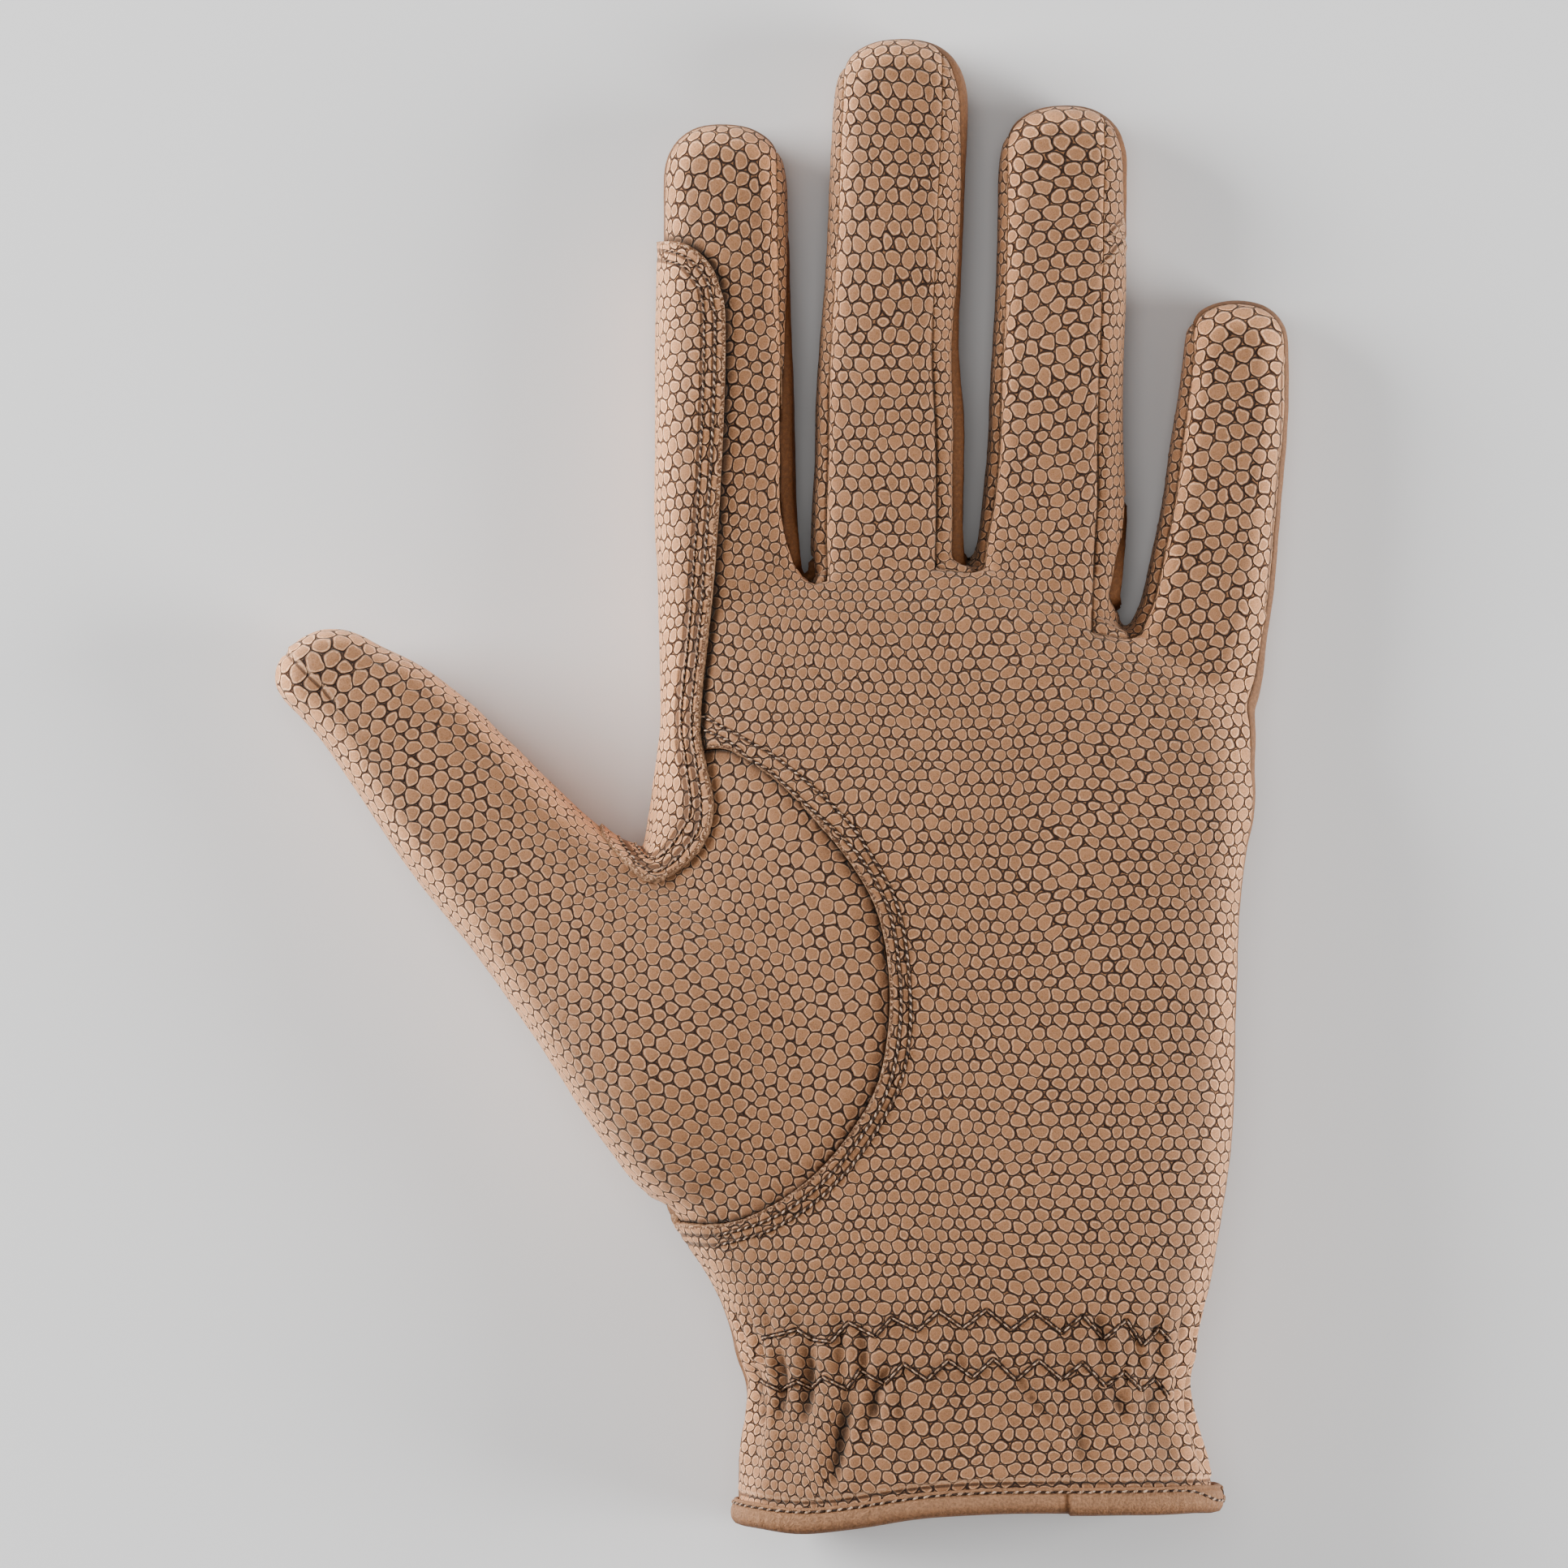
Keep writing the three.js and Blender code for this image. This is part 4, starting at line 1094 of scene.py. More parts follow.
def finish_material(tree, colour, roughness, height, depth, sheen=0.0):
    bump = tree.node("ShaderNodeBump", {}, {"Height": height, "Distance": depth, "Strength": 1.0})
    values = {"Base Color": colour, "Roughness": roughness, "Normal": bump, "IOR": 1.4}
    values |= {"Specular IOR Level": 0.3, "Sheen Weight": sheen, "Sheen Roughness": 0.45}
    values["Sheen Tint"] = (1.0, 0.82, 0.66, 1)
    surface = tree.node("ShaderNodeBsdfPrincipled", {}, values)
    tree.node("ShaderNodeOutputMaterial", {}, {"Surface": surface})


print("nodes are ready")

# %% [markdown]
# ## Scale-embossed leather
# The embossing is a crowd of rounded scales, about two millimetres wide, that lie in
# rough rows like cobbles. A plain Voronoi texture gives sharp corners and too wild a
# mixture of sizes. So we set out the centres ourselves, on a lattice of staggered rows,
# and push each one a little off its place by white noise. Every centre then claims the
# ground near it by a weight that falls off smoothly, and a scale ends where another
# claims as much. The smooth falling off is what rounds the corners. Above a centre the
# width counts for more, which draws the scales to a soft point, like drops.

# %% The pattern of scales
SCALE_PITCH = 2.02
ROW_STEP = math.sqrt(3) / 2
SCATTER = 0.165
UNEVEN = 0.14
TEARDROP = 0.8


def scale_pattern(tree, place, fall_off):
    """How far a point is inside a scale, in pitches, and a random number for the scale."""
    spot = tree.node("ShaderNodeSeparateXYZ", {}, {0: place})
    row = (tree.also(spot, "Y") * (1 / ROW_STEP)).math("ROUND")
    claims, chances, best = 0.0, 0.0, None
    for step, columns in ((-1, (0, 1)), (0, (-1, 0, 1)), (1, (0, 1))):
        this_row = row + step
        stagger = this_row.math("FLOORED_MODULO", 2.0) * 0.5
        column = (spot - stagger).math("ROUND" if step == 0 else "FLOOR")
        shift = tree.node("ShaderNodeCombineXYZ", {}, {0: stagger - SCATTER, 1: -SCATTER, 2: 0.0})
        start = tree.vector("SUBTRACT", place, shift)
        for k in columns:
            cell = tree.node("ShaderNodeCombineXYZ", {}, {0: column + k, 1: this_row, 2: 0.0})
            chance = tree.node("ShaderNodeTexWhiteNoise", {"noise_dimensions": "2D"}, {"Vector": cell}, 1)
            away = tree.vector("MULTIPLY_ADD", cell, (-1, -ROW_STEP, 0), start)
            away = tree.vector("MULTIPLY_ADD", chance, (-2 * SCATTER, -2 * SCATTER, 0), away)
            luck = tree.also(tree.node("ShaderNodeSeparateXYZ", {}, {0: chance}), "Z")
            across = tree.node("ShaderNodeSeparateXYZ", {}, {0: away})
            narrowed = across * across * tree.also(across, "Y") * TEARDROP
            far = tree.vector("DOT_PRODUCT", away, away, output=1) + narrowed - luck * UNEVEN
            claim = (far * -fall_off).math("EXPONENT")
            claims, chances = claim + claims, claim * luck + chances
            best = far if best is None else best.least(far)
    rest = claims * (best * fall_off).math("EXPONENT") - 1.0
    inside = rest.most(0.0001).math("LOGARITHM", math.e) * (-0.5 / fall_off)
    return inside, chances / claims


print("scales every", SCALE_PITCH, "mm")

# %% [markdown]
# The line round a scale is a thin dark valley. Where three scales meet, the valleys part
# and leave a small ground between them. A pale rim inside the line is a painted highlight,
# and fine dots roughen the top. Sewn edges, stitch rows and folds read the distances that we
# left on the mesh, and the shadow and pale marks bring in painted shade and painted highlight.

# %% Scaled leather
SCALE_TOP = (0.362, 0.168, 0.077)
SCALE_RIM = (0.76, 0.435, 0.245)
BETWEEN_SCALES = (0.27, 0.120, 0.048)
VALLEY = (0.020, 0.006, 0.002)
CUT_EDGE = (0.52, 0.30, 0.17)
FRAYED = (0.09, 0.036, 0.014)
# The rows of scales wander by this much, in millimetres: slowly, and at each scale.
DRIFT, RIPPLE = 4.8, 0.7
# Beyond these places on the palm's map the scales grow or shrink, by these shares.
FINGERS_FROM, TALLER = 22.0, 0.14
CUFF_LEFT, CUFF_BELOW, SMALLER = 10.0, -88.0, 0.2
# A painted highlight makes the leather paler this near the side seam, where the side lamps would light it.
SIDE_HIGHLIGHT_WITHIN = 4.0
SCALE_RELIEF = 0.22


def scaled_leather(name, stretch=(1.0, 1.0), turn=0.0, seam="thumb_mm", lighter=1.0, grow=0.0,
                   side_highlight=1.05, line_width=1.0, fall_off=5.5):
    material, tree = new_material(name)
    flat = tree.node("ShaderNodeUVMap", {"uv_map": "leather"})
    drift = tree.vector("SUBTRACT", tree.also(tree.noise(flat, 1 / 26, 0.5), "Color"), (0.5, 0.5, 0.5))
    drift = tree.node("ShaderNodeVectorMath", {"operation": "SCALE"}, {0: drift, 3: DRIFT})
    ripple = tree.vector("SUBTRACT", tree.also(tree.noise(flat, 0.55, 1.0), "Color"), (0.5, 0.5, 0.5))
    ripple = tree.node("ShaderNodeVectorMath", {"operation": "SCALE"}, {0: ripple, 3: RIPPLE})
    place = tree.vector("ADD", tree.vector("ADD", flat, drift), ripple)
    if grow:
        across = tree.node("ShaderNodeSeparateXYZ", {}, {0: flat})
        up = tree.also(across, "Y")
        beside = (CUFF_LEFT - across).most(0.0)
        below = (CUFF_BELOW - up).most(0.0)
        tall = (up - FINGERS_FROM).most(0.0) * TALLER + below * beside.ramp(0.0, 8.0) * SMALLER
        wide = beside * below.ramp(0.0, 6.0) * SMALLER
        moved = tree.node("ShaderNodeCombineXYZ", {}, {0: wide, 1: tall, 2: 0.0})
        place = tree.vector("SUBTRACT", place, moved)
        place = tree.vector("MULTIPLY_ADD", tree.vector("MULTIPLY", flat, flat), (-grow, 0, 0), place)
    size = (1 / (SCALE_PITCH * stretch[0]), 1 / (SCALE_PITCH * stretch[1]), 1)
    place = tree.node("ShaderNodeMapping", {}, {"Vector": place, "Rotation": (0, 0, turn), "Scale": size})
    inside, luck = scale_pattern(tree, place, fall_off)

    grain = tree.noise(flat, 2.7, 3.0, 0.7).ramp(0.34, 0.66)
    dots = tree.noise(flat, 2.7, 1.0).ramp(0.55, 0.63)
    tone = tree.noise(flat, 1 / 16, 2.0)
    top = tree.shade(tree.colour(0.0, SCALE_TOP, SCALE_TOP), 0.66 + 0.16 * luck + 0.52 * grain)
    thin = 0.03 + 0.03 * line_width
    # A painted highlight: a pale rim just inside each scale's line.
    rim = inside.ramp(thin - 0.01, thin + 0.012) * inside.ramp(thin + 0.075, thin + 0.035)
    top = tree.colour(rim * (0.2 + 0.75 * grain), top, SCALE_RIM)
    top = tree.colour(dots * inside.ramp(0.1, 0.2) * 0.85, top, BETWEEN_SCALES)
    ground = tree.shade(tree.colour(0.0, BETWEEN_SCALES, BETWEEN_SCALES), 0.85 + 0.4 * grain)
    colour = tree.colour(inside.ramp(-0.03, 0.0), ground, top)
    line = inside.ramp(-0.05 / line_width, -0.022 / line_width)
    line = line * inside.ramp(0.057 * line_width, 0.03 * line_width)
    colour = tree.colour((line * (0.88 + 0.3 * grain)).least(1.0), colour, VALLEY)

    fray = tree.noise(flat, 2.0, 3.0, 0.7)
    raw = (abs(tree.distance(seam)) + 1.1 * fray).ramp(1.15, 0.98)
    colour = tree.colour(raw, colour, tree.colour(fray.ramp(0.47, 0.6), FRAYED, CUT_EDGE))
    sewn = abs(tree.distance("row_one_mm")).least(abs(tree.distance("row_two_mm")))
    sewn = sewn.least(abs(tree.distance("line_mm")) + 0.1).ramp(0.42, 0.2)
    ridge = abs(tree.distance("line_mm") - 0.62).ramp(0.36, 0.18)
    colour = tree.colour(ridge * fray.ramp(0.4, 0.54) * 0.7, colour, CUT_EDGE)
    colour = tree.colour(sewn * 0.75, colour, VALLEY)
    # Painted light and shade: a dark crease at the finger strips' seams, lightened by the painted highlight
    # toward the tips, then darkened by the painted shadow mark.
    pale = tree.distance("pale")
    painted_light_and_shade = abs(tree.distance("gusset_mm")).ramp(0.0, 0.45, 0.2, 1.0).most(pale) * (1 + 0.28 * pale)
    painted_light_and_shade = painted_light_and_shade * tree.distance("shadow").ramp(0.0, 1.0, 1.0, 0.16)
    # Painted highlight on the sides of the hand near the side seam.
    if side_highlight:
        painted_light_and_shade = painted_light_and_shade * abs(tree.distance("flank_mm")).ramp(REACH, SIDE_HIGHLIGHT_WITHIN, 1.0, 1.0 + side_highlight)
    colour = tree.shade(colour, painted_light_and_shade * lighter * (0.86 + 0.28 * tone))

    height = inside.ramp(-0.01, 0.06) + inside.ramp(0.06, 0.34) * 0.35 + 0.2 * grain
    height = height - dots * 0.2 + inside.ramp(-0.01, -0.05) * 0.5
    height = height * (1 - raw) + raw * fray * 1.5 - sewn * 0.6
    finish_material(tree, colour, 0.58 + 0.2 * line + 0.1 * grain, height, SCALE_RELIEF * MM, sheen=0.3)
    return material


panel_scales = scaled_leather("panel_scales", stretch=(0.98, 1.05), grow=0.0016)
thumb_scales = scaled_leather("thumb_scales", stretch=(1.1, 1.12), turn=0.5, seam="none_mm", lighter=0.99,
                              side_highlight=1.45, line_width=0.88, fall_off=7.0)
patch_scales = scaled_leather("patch_scales", stretch=(0.95, 1.2), seam="patch_mm", lighter=1.28)
gusset_scales = scaled_leather("gusset_scales", stretch=(0.95, 1.0), seam="none_mm", side_highlight=0.0)
print("scaled leather:", panel_scales.name, thumb_scales.name, patch_scales.name)

# %% [markdown]
# ## Smooth leathers
# The back, the binding and the inner face are the same sheet without scales. Fine noise
# in the object's own space gives pores and a little mottling.

# %% Smooth, lining and raw edge
SMOOTH = (0.27, 0.132, 0.066)
BINDING = (0.37, 0.187, 0.094)
SHADED = (0.30, 0.118, 0.040)
INNER = (0.22, 0.13, 0.085)
RAW = (0.42, 0.235, 0.13)


def smooth_leather(name, tint, pore=900, depth=0.1, rough=0.55, crease_of=None, speckle=0.42):
    material, tree = new_material(name)
    place = tree.node("ShaderNodeTexCoord", {}, {}, "Object")
    pores = tree.noise(place, pore, 4.0, 0.65).ramp(0.3, 0.7)
    mottle = tree.noise(place, 60, 3.0)
    share = 0.83 - speckle / 2 + 0.3 * mottle + speckle * pores
    # Painted shade: darker and toward a shaded brown where the shadow mark is high, and a painted dark
    # crease along the side seam where crease_of is given.
    share = share * tree.distance("shadow").ramp(0.0, 1.0, 1.0, 0.55)
    if crease_of:
        share = share * abs(tree.distance(crease_of)).ramp(0.0, 0.8, 0.4, 1.0)
    colour = tree.shade(tree.colour(tree.distance("shadow"), tint, SHADED), share)
    finish_material(tree, colour, rough + 0.15 * pores, pores, depth * MM)
    return material


back_smooth = smooth_leather("back_smooth", SMOOTH, pore=1800, crease_of="side_mm")
binding_smooth = smooth_leather("binding_smooth", BINDING, pore=2300, depth=0.15, rough=0.5, speckle=0.55)
inner_face = smooth_leather("inner_face", INNER, pore=1500, depth=0.15, rough=0.8)
raw_edge = smooth_leather("raw_edge", RAW, pore=1900, depth=0.25, rough=0.8, speckle=1.3)
print("smooth leathers made")


# %% Walls for the panels
def give_wall(piece, thickness, outer):
    for material in (outer, inner_face, raw_edge):
        piece.data.materials.append(material)
    wall = piece.modifiers.new("wall", "SOLIDIFY")
    wall.thickness = thickness * MM
    wall.offset = -1
    wall.use_even_offset = False
    wall.material_offset = 1
    wall.material_offset_rim = 2


outers = {
    "palm_panel": panel_scales,
    "back_panel": back_smooth,
    "thumb": thumb_scales,
    "index_patch": patch_scales,
    **{name: gusset_scales for name in gusset_names},
}
for name, outer in outers.items():
    give_wall(glove[name], PATCH_LEATHER if name == "index_patch" else LEATHER, outer)
print("walls", LEATHER, "mm thick")

# %% [markdown]
# ## The binding of the cuff
# A strip of smooth leather is folded round the hem. We sweep its folded section, a U on
# its side, round the ring of the hem. On the palm side one end laps over the other, so
# the section grows a little past the joint.

# %% Binding
# The folded section, outside first: out from the skin, up from the hem.
BINDING_SECTION = np.array([
    (0.15, 2.85), (0.4, 2.95), (0.7, 2.85), (0.84, 2.6), (0.8, 2.3), (0.92, 2.0), (1.06, 1.8),
    (1.18, 1.4), (1.25, 0.7), (1.12, -0.1), (0.72, -0.75), (0.1, -1.05), (-0.6, -0.95),
    (-1.2, -0.5), (-1.7, 0.2), (-2.0, 1.1), (-2.05, 2.4), (-1.9, 3.2), (-1.5, 3.4), (-1.2, 3.1),
    (-1.18, 1.4), (-1.0, 0.5), (-0.5, -0.1), (-0.1, -0.15), (0.12, 0.3), (0.15, 1.6),
])
LAP_AT = 43.4
LAP_RISE = 0.42
RING = 560


def hem_ring(count):
    """Points, outward directions and lengths round the hem."""
    centre, half, depth = CUFF_ROWS[0, 1:] * (PALM_BREADTH, WRIST_BREADTH, WRIST_DEPTH)
    across, height, _ = oval(half, depth, sides=count)
    x = centre + across
    y = HEM_Y + sway(x, np.full_like(x, HEM_Y))
    z = np.maximum(height, BINDING_STANDOFF + 0.1)
    ring = np.column_stack([x, y, z])
    ahead = np.roll(ring, -1, axis=0) - np.roll(ring, 1, axis=0)
    length = np.concatenate([[0], np.cumsum(np.linalg.norm(np.diff(ring[:, [0, 2]], axis=0), axis=1))])
    out = np.column_stack([ahead[:, 2], np.zeros(count), -ahead[:, 0]])
    out /= np.linalg.norm(out, axis=1, keepdims=True)
    return ring, out, length


def even_ring(count):
    """The hem ring with its points evenly spaced."""
    ring, out, length = hem_ring(4 * count)
    at = np.linspace(0, length[-1], count, endpoint=False)
    ring = np.column_stack([np.interp(at, length, ring[:, k]) for k in range(3)])
    out = np.column_stack([np.interp(at, length, out[:, k]) for k in range(3)])
    return ring, out / np.linalg.norm(out, axis=1, keepdims=True), at


def lap_of(ring):
    """1 where the binding's one end lies over the other."""
    on_palm = ring[:, 2] > CUFF_MIDDLE
    lapped = np.where(on_palm, smoothstep(ring[:, 0], LAP_AT, LAP_AT + 0.35), 0)
    return np.where(~on_palm & (ring[:, 0] > 40), smoothstep(ring[:, 0], 40, 62), lapped)


def binding_mesh():
    ring, out, at = even_ring(RING)
    rng = np.random.default_rng(11)
    wrinkle = sum(np.sin(at * rng.uniform(2.2, 5.2) + rng.uniform(0, 6.3)) for _ in range(6)) / 6
    slack = sum(np.sin(at * rng.uniform(0.2, 0.6) + rng.uniform(0, 6.3)) for _ in range(4)) / 4
    lapped = lap_of(ring)
    under_lap = bell(ring[:, 0], LAP_AT - 0.3, 0.32) * (ring[:, 2] > CUFF_MIDDLE)
    points, shadows = [], []
    for o, a in BINDING_SECTION:
        below_stitch = smoothstep(a, 2.2, 1.3) if o > 0 else 0.0
        fold = 0.17 * wrinkle * below_stitch * (1 if o > 0.5 else 0)
        push = o + (fold + LAP_RISE * lapped if o > 0.3 else 0)
        place = ring + out * push[:, None] if isinstance(push, np.ndarray) else ring + out * push
        place = place + np.array([0, 1, 0]) * a
        place[:, 1] += 0.12 * slack - (0.35 * lapped if a < 1 and o > 0 else 0)
        points.append(place)
        at_hem = 0.75 * smoothstep(-a, -0.6, 0.9) + 0.45 * bell(a, 2.3, 0.3)
        shadows.append(np.clip(at_hem + 0.95 * under_lap * (a < 2.0), 0, 1))
    sides, count = len(points), RING
    points = np.stack(points, 1).reshape(-1, 3)
    points[:, 2] = np.maximum(points[:, 2], LOWEST)
    faces = []
    for i in range(count):
        for j in range(sides):
            a, b = i * sides + j, i * sides + (j + 1) % sides
            c, d = ((i + 1) % count) * sides + j, ((i + 1) % count) * sides + (j + 1) % sides
            faces.append((a, b, d, c))
    mesh = bpy.data.meshes.new("cuff_binding_leather")
    mesh.from_pydata(in_frame(points).tolist(), [], faces)
    mesh.shade_smooth()
    mesh.materials.append(binding_smooth)
    mark = mesh.attributes.new("shadow", "FLOAT", "POINT")
    mark.data.foreach_set("value", np.stack(shadows, 1).ravel().astype(np.float32))
    return mesh


def face_outwards(mesh):
    shell = bmesh.new()
    shell.from_mesh(mesh)
    bmesh.ops.recalc_face_normals(shell, faces=shell.faces)
    shell.to_mesh(mesh)
    shell.free()


made = binding_mesh()
face_outwards(made)
glove["cuff_binding"] = bpy.data.objects.new("cuff_binding_leather", made)
bpy.context.scene.collection.objects.link(glove["cuff_binding"])
print("binding", len(made.polygons), "faces")

# %% [markdown]
# ## Stitches by Geometry Nodes
# Every seam row is a line drawn in plan and dropped onto the leather. Each stitch needs
# a place, a direction and a way up, so we leave those on bare points, and a small
# Geometry Nodes tree sets one thread at every point. The same tree sews every row.


# %% The stitch tree
def stitch_tree():
    group = bpy.data.node_groups.new("stitches", "GeometryNodeTree")
    face = group.interface
    face.new_socket("Geometry", in_out="INPUT", socket_type="NodeSocketGeometry")
    for name, size in (("Length", 1.4 * MM), ("Radius", 0.2 * MM), ("Arch", 0.12 * MM)):
        face.new_socket(name, in_out="INPUT", socket_type="NodeSocketFloat").default_value = size
    face.new_socket("Thread", in_out="INPUT", socket_type="NodeSocketMaterial")
    face.new_socket("Geometry", in_out="OUTPUT", socket_type="NodeSocketGeometry")
    tree = Tree(group)
    given = tree.node("NodeGroupInput")
    ball = tree.node("GeometryNodeMeshUVSphere", {}, {"Segments": 6, "Rings": 6, "Radius": 1.0})
    place = tree.node("ShaderNodeSeparateXYZ", {}, {0: tree.node("GeometryNodeInputPosition")})
    along, across, up = (tree.also(place, k) for k in range(3))
    length, radius, arch = (tree.also(given, name) for name in ("Length", "Radius", "Arch"))
    plump = 1 - along * along * along * along * 0.35
    shaped = tree.node("ShaderNodeCombineXYZ", {}, {
        0: along * length * 0.5,
        1: across * radius * plump,
        2: up * radius * plump - along * along * arch,
    })
    thread = tree.node("GeometryNodeSetPosition", {}, {"Geometry": ball, "Position": shaped})
    way = {"data_type": "FLOAT_VECTOR"}
    towards = tree.node("GeometryNodeInputNamedAttribute", way, {"Name": "towards"})
    upwards = tree.node("GeometryNodeInputNamedAttribute", way, {"Name": "upwards"})
    lie = tree.node("FunctionNodeAlignRotationToVector", {"axis": "X"}, {"Vector": towards})
    lie = tree.node("FunctionNodeAlignRotationToVector", {"axis": "Z", "pivot_axis": "X"},
                    {"Rotation": lie, "Vector": upwards})
    sewn = tree.node("GeometryNodeInstanceOnPoints", {},
                     {"Points": given, "Instance": thread, "Rotation": lie})
    real = tree.node("GeometryNodeRealizeInstances", {}, {0: sewn})
    smooth = tree.node("GeometryNodeSetShadeSmooth", {}, {"Geometry": real})
    done = tree.node("GeometryNodeSetMaterial", {},
                     {"Geometry": smooth, "Material": tree.also(given, "Thread")})
    tree.node("NodeGroupOutput", {}, {0: done})
    return group


STITCHES = stitch_tree()
print("stitch tree inputs", [item.name for item in STITCHES.interface.items_tree])


# %% Rows of stitches
# The wrist's zigzags, as shares of the palm's breadth and of its length from the wrist.
WRIST_ZIGZAG_UPPER = [
    (-0.037, 0.054), (0.021, 0.066), (0.046, 0.054), (0.077, 0.051), (0.107, 0.075), (0.151, 0.058),
    (0.179, 0.081), (0.221, 0.065), (0.257, 0.089), (0.297, 0.068), (0.337, 0.091), (0.377, 0.066),
    (0.417, 0.088), (0.462, 0.062), (0.497, 0.084), (0.532, 0.054), (0.57, 0.078), (0.598, 0.046),
    (0.625, 0.066), (0.644, 0.051),
]
WRIST_ZIGZAG_LOWER = [
    (-0.041, 0.002), (-0.007, -0.01), (0.021, 0.002), (0.046, -0.007), (0.064, 0.008),
    (0.104, -0.007), (0.126, 0.017), (0.167, -0.001), (0.198, 0.025), (0.237, 0.005), (0.273, 0.029),
    (0.314, 0.008), (0.348, 0.031), (0.386, 0.005), (0.424, 0.029), (0.462, 0.005), (0.497, 0.026),
    (0.535, -0.003), (0.566, 0.014), (0.595, -0.009), (0.618, 0.005), (0.641, -0.017),
]


skins = {name: BVHTree.FromPolygons(surfaces[name].tolist(), panels[name][0].tolist())
         for name in ("palm_panel", "index_patch")}


def dropped(name, line):
    """A line in plan laid on a panel: its points, and the way up at each."""
    points, normals = [], []
    for px, py in line:
        place, normal, _, _ = skins[name].ray_cast((px, py, 60), (0, 0, -1))
        if place is not None:
            points.append(place)
            normals.append(normal)
    return np.array(points), np.array(normals)


def spaced(points, normals, pitch, slant=0.0):
    """Places, directions and ways up of even stitches along a line, each turned a little."""
    steps = np.linalg.norm(np.diff(points, axis=0), axis=1)
    length = np.concatenate([[0], np.cumsum(steps)])
    count = max(1, round(length[-1] / pitch))
    ends = np.linspace(0, length[-1], count + 1)
    at = np.column_stack([np.interp(ends, length, points[:, k]) for k in range(3)])
    middle = (ends[1:] + ends[:-1]) / 2
    up = np.column_stack([np.interp(middle, length, normals[:, k]) for k in range(3)])
    centre = np.column_stack([np.interp(middle, length, points[:, k]) for k in range(3)])
    way = at[1:] - at[:-1]
    way = way + np.cross(up, way) * math.tan(slant)
    return centre, way, up


def straight_rows(name, all_shares, pitch, slant=0.0):
    return [spaced(*dropped(name, spline(to_plan(shares), 160)), pitch, slant) for shares in all_shares]


def zigzag_rows(name, all_shares, pitch, asides):
    """Threads side by side, turning at each corner."""
    rows = []
    for shares in all_shares:
        corners = to_plan(shares)
        for start, end in zip(corners[:-1], corners[1:]):
            way = (end - start) / np.linalg.norm(end - start)
            for offset in asides:
                aside = np.array([-way[1], way[0]]) * offset
                line = start + aside + np.linspace(0, 1, 12)[:, None] * (end - start)
                rows.append(spaced(*dropped(name, line), pitch))
    return rows


ARCH = 0.12


def sew(name, rows, length, radius, thread, raise_by):
    """One mesh with a thread at every stitch of some rows."""
    centre, towards, up = (np.concatenate(part) for part in zip(*rows))
    mesh = bpy.data.meshes.new(name)
    mesh.from_pydata(in_frame(centre + up * raise_by).tolist(), [], [])
    for key, vectors in (("towards", towards), ("upwards", up)):
        attribute = mesh.attributes.new(key, "FLOAT_VECTOR", "POINT")
        attribute.data.foreach_set("vector", vectors.astype(np.float32).ravel())
    points = bpy.data.objects.new(name, mesh)
    bpy.context.scene.collection.objects.link(points)
    modifier = points.modifiers.new("stitches", "NODES")
    modifier.node_group = STITCHES
    sizes = {"Length": length * MM, "Radius": radius * MM, "Arch": ARCH * MM, "Thread": thread}
    for item in STITCHES.interface.items_tree:
        if item.name in sizes:
            modifier[item.identifier] = sizes[item.name]
    graph = bpy.context.evaluated_depsgraph_get()
    sewn = bpy.data.meshes.new_from_object(points.evaluated_get(graph))
    points.modifiers.clear()
    points.data = sewn
    sewn.name = name
    print(name, len(centre), "stitches,", len(sewn.polygons), "faces")
    return points


# %% Thread
def thread_material(name, dark, light):
    material, tree = new_material(name)
    place = tree.node("ShaderNodeTexCoord", {}, {}, "Object")
    strands = tree.noise(place, 2600, 2.0, 0.6)
    colour = tree.colour(strands.ramp(0.42, 0.62), dark, light)
    finish_material(tree, colour, 0.45 + 0.2 * strands, strands, 0.1 * MM)
    return material


dark_thread = thread_material("dark_thread", (0.012, 0.004, 0.002), (0.06, 0.028, 0.013))
light_thread = thread_material("light_thread", (0.26, 0.14, 0.075), (0.66, 0.45, 0.31))

# %% [markdown]
# A seam shows two threads. The lower one lies in its groove as a dark unbroken line, and
# the upper one crosses it in short slanting stitches that catch the light.

# %% Sew every row
THUMB_ROWS_SEWN = (THUMB_ROW_OUTER, THUMB_ROW_INNER)
PATCH_ROWS_SEWN = (PATCH_ROW_OUTER, PATCH_ROW_INNER)
ZIGZAGS = (WRIST_ZIGZAG_UPPER, WRIST_ZIGZAG_LOWER)
SLANT = math.radians(16)
# The hem's row runs this far up from the hem, and lower at the corner of the cuff.
HEM_ROW_UP, HEM_CORNER, CORNER_DIP = 2.3, 65.6, 1.8
HEM_ROW_LOWEST = 0.5


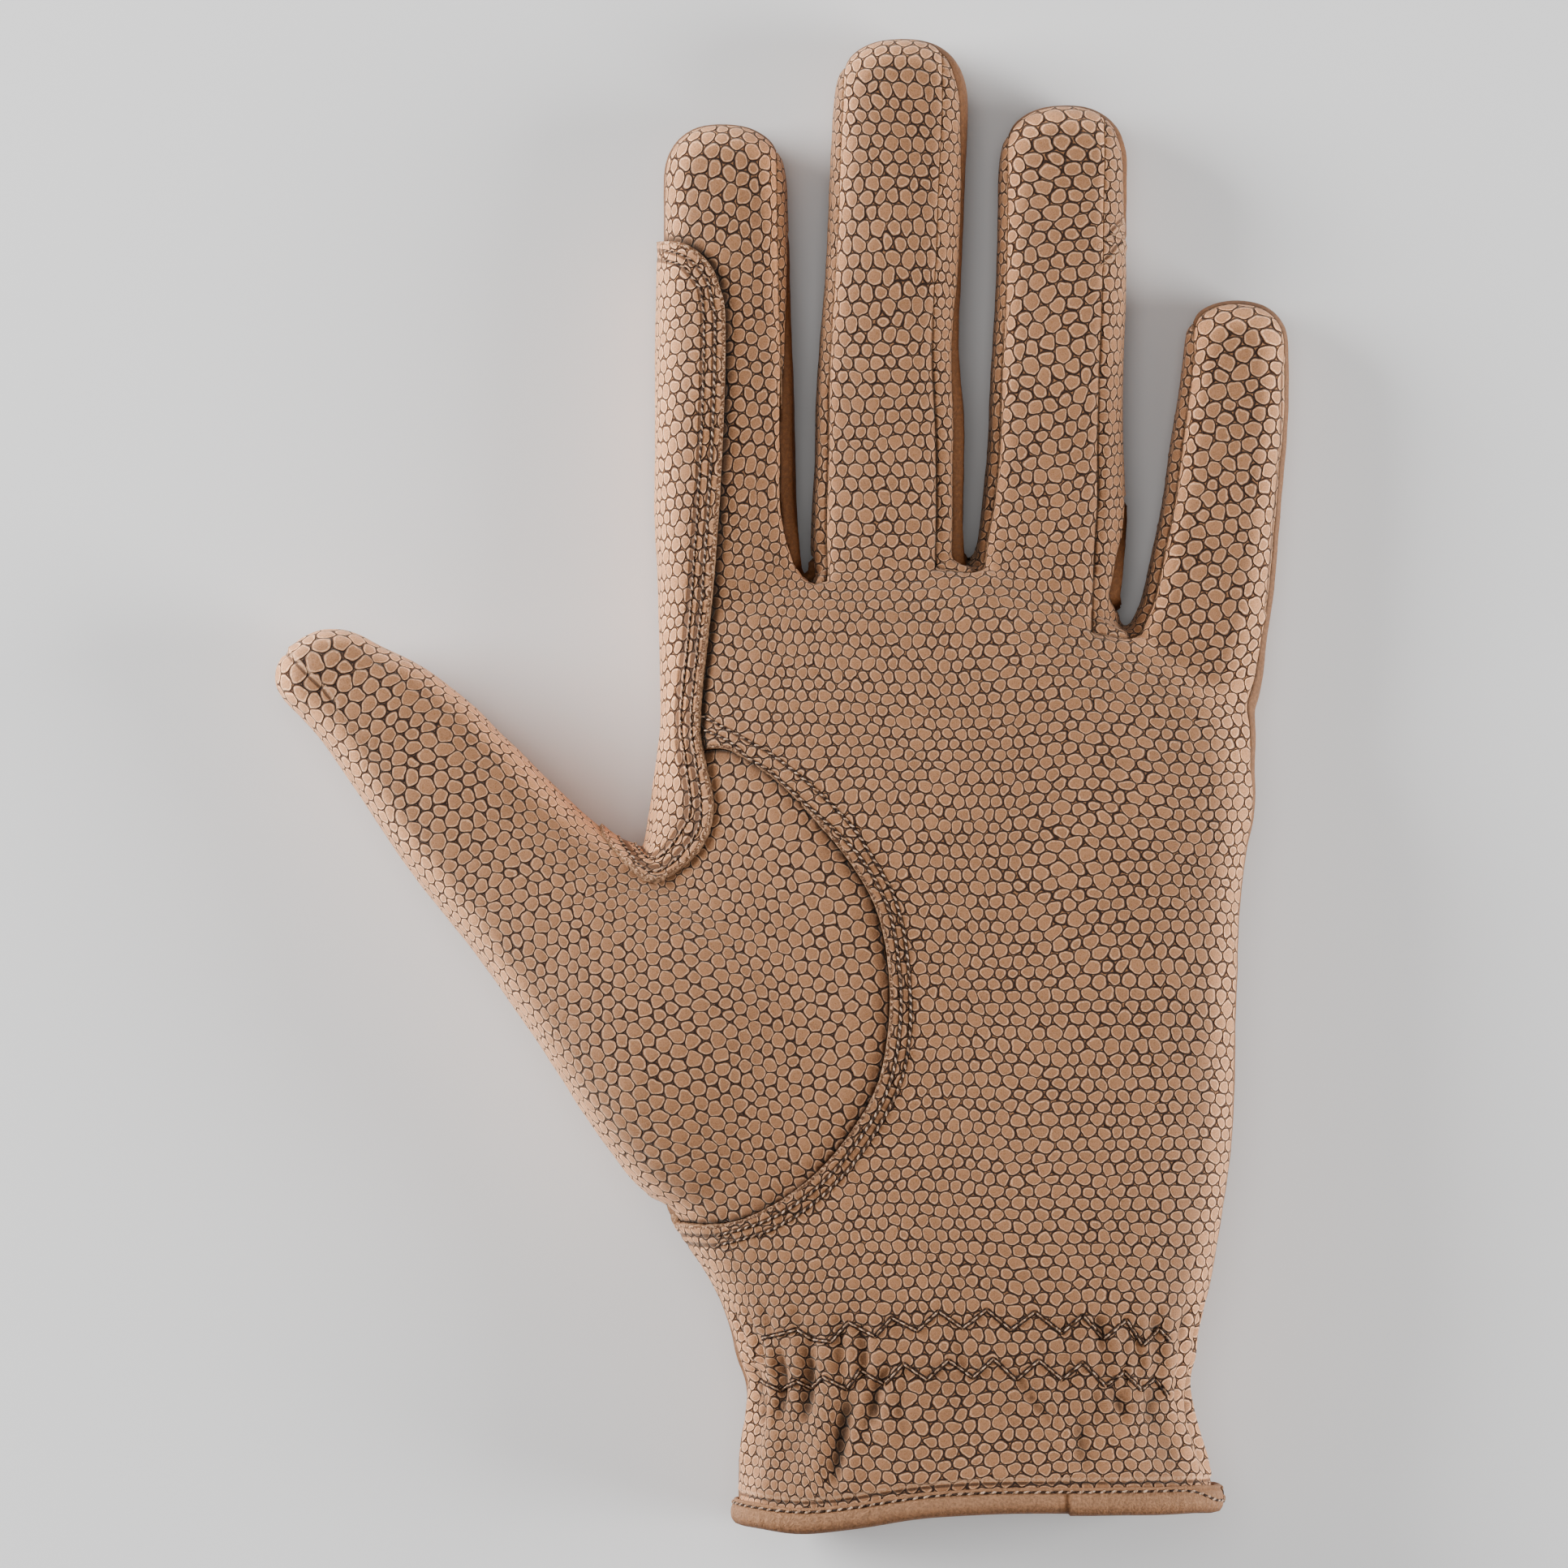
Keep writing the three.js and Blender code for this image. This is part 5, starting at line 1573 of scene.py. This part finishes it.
def hem_row(pitch, slant=0.0):
    """The row in the binding's groove, which dips toward the corner at the right."""
    ring, out, _ = even_ring(RING)
    up = HEM_ROW_UP - CORNER_DIP * bell(ring[:, 0], HEM_CORNER, 2.6) * (ring[:, 2] > CUFF_MIDDLE)
    outside = BINDING_SECTION[4:10][::-1]
    push = np.interp(up, outside[:, 1], outside[:, 0]) + LAP_RISE * lap_of(ring)
    place = ring + out * push[:, None] + np.outer(up, (0, 1, 0))
    place[:, 2] = np.maximum(place[:, 2], HEM_ROW_LOWEST)
    place, out = np.vstack([place, place[:1]]), np.vstack([out, out[:1]])
    return [spaced(place, out, pitch, slant)]


thumb_line = straight_rows("palm_panel", THUMB_ROWS_SEWN, 1.1)
thumb_stitches = straight_rows("palm_panel", THUMB_ROWS_SEWN, 1.3, SLANT)
patch_line = straight_rows("index_patch", PATCH_ROWS_SEWN, 1.1)
patch_stitches = straight_rows("index_patch", PATCH_ROWS_SEWN, 1.3, SLANT)
wrist_lines = zigzag_rows("palm_panel", ZIGZAGS, 1.1, (-0.25, 0.25))
wrist_stitches = zigzag_rows("palm_panel", ZIGZAGS, 1.7, (0.0,))
RAISED_DARK, RAISED_LIGHT = 0.1, 0.2

stitched = {}
for name, rows, length, radius, thread in (
    # name, rows, a stitch's length and radius, thread
    ("thumb_seam_line", thumb_line, 1.6, 0.21, dark_thread),
    ("thumb_seam_stitches", thumb_stitches, 1.15, 0.17, light_thread),
    ("patch_line", patch_line, 1.6, 0.21, dark_thread),
    ("patch_stitches", patch_stitches, 1.15, 0.17, light_thread),
    ("wrist_lines", wrist_lines, 1.6, 0.18, dark_thread),
    ("wrist_stitches", wrist_stitches, 1.5, 0.15, light_thread),
    ("hem_line", hem_row(1.1), 1.6, 0.24, dark_thread),
    ("hem_stitches", hem_row(1.7, SLANT), 1.35, 0.22, light_thread),
):
    raise_by = RAISED_DARK if thread is dark_thread else RAISED_LIGHT
    stitched[name] = sew(name, rows, length, radius, thread, raise_by)

# %% [markdown]
# ## The pieces on their body
# Each panel takes the place of its solid from the frame, which is hidden. The glove has no
# joints, so everything rides on the one body.

# %% Bodies, with the frame's solids hidden
for name, piece in glove.items():
    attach(piece, "root")
    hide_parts(name)
for piece in stitched.values():
    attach(piece, "root")

camera.location.x, camera.location.y = FRAME_SHIFT[0] * MM, FRAME_SHIFT[1] * MM
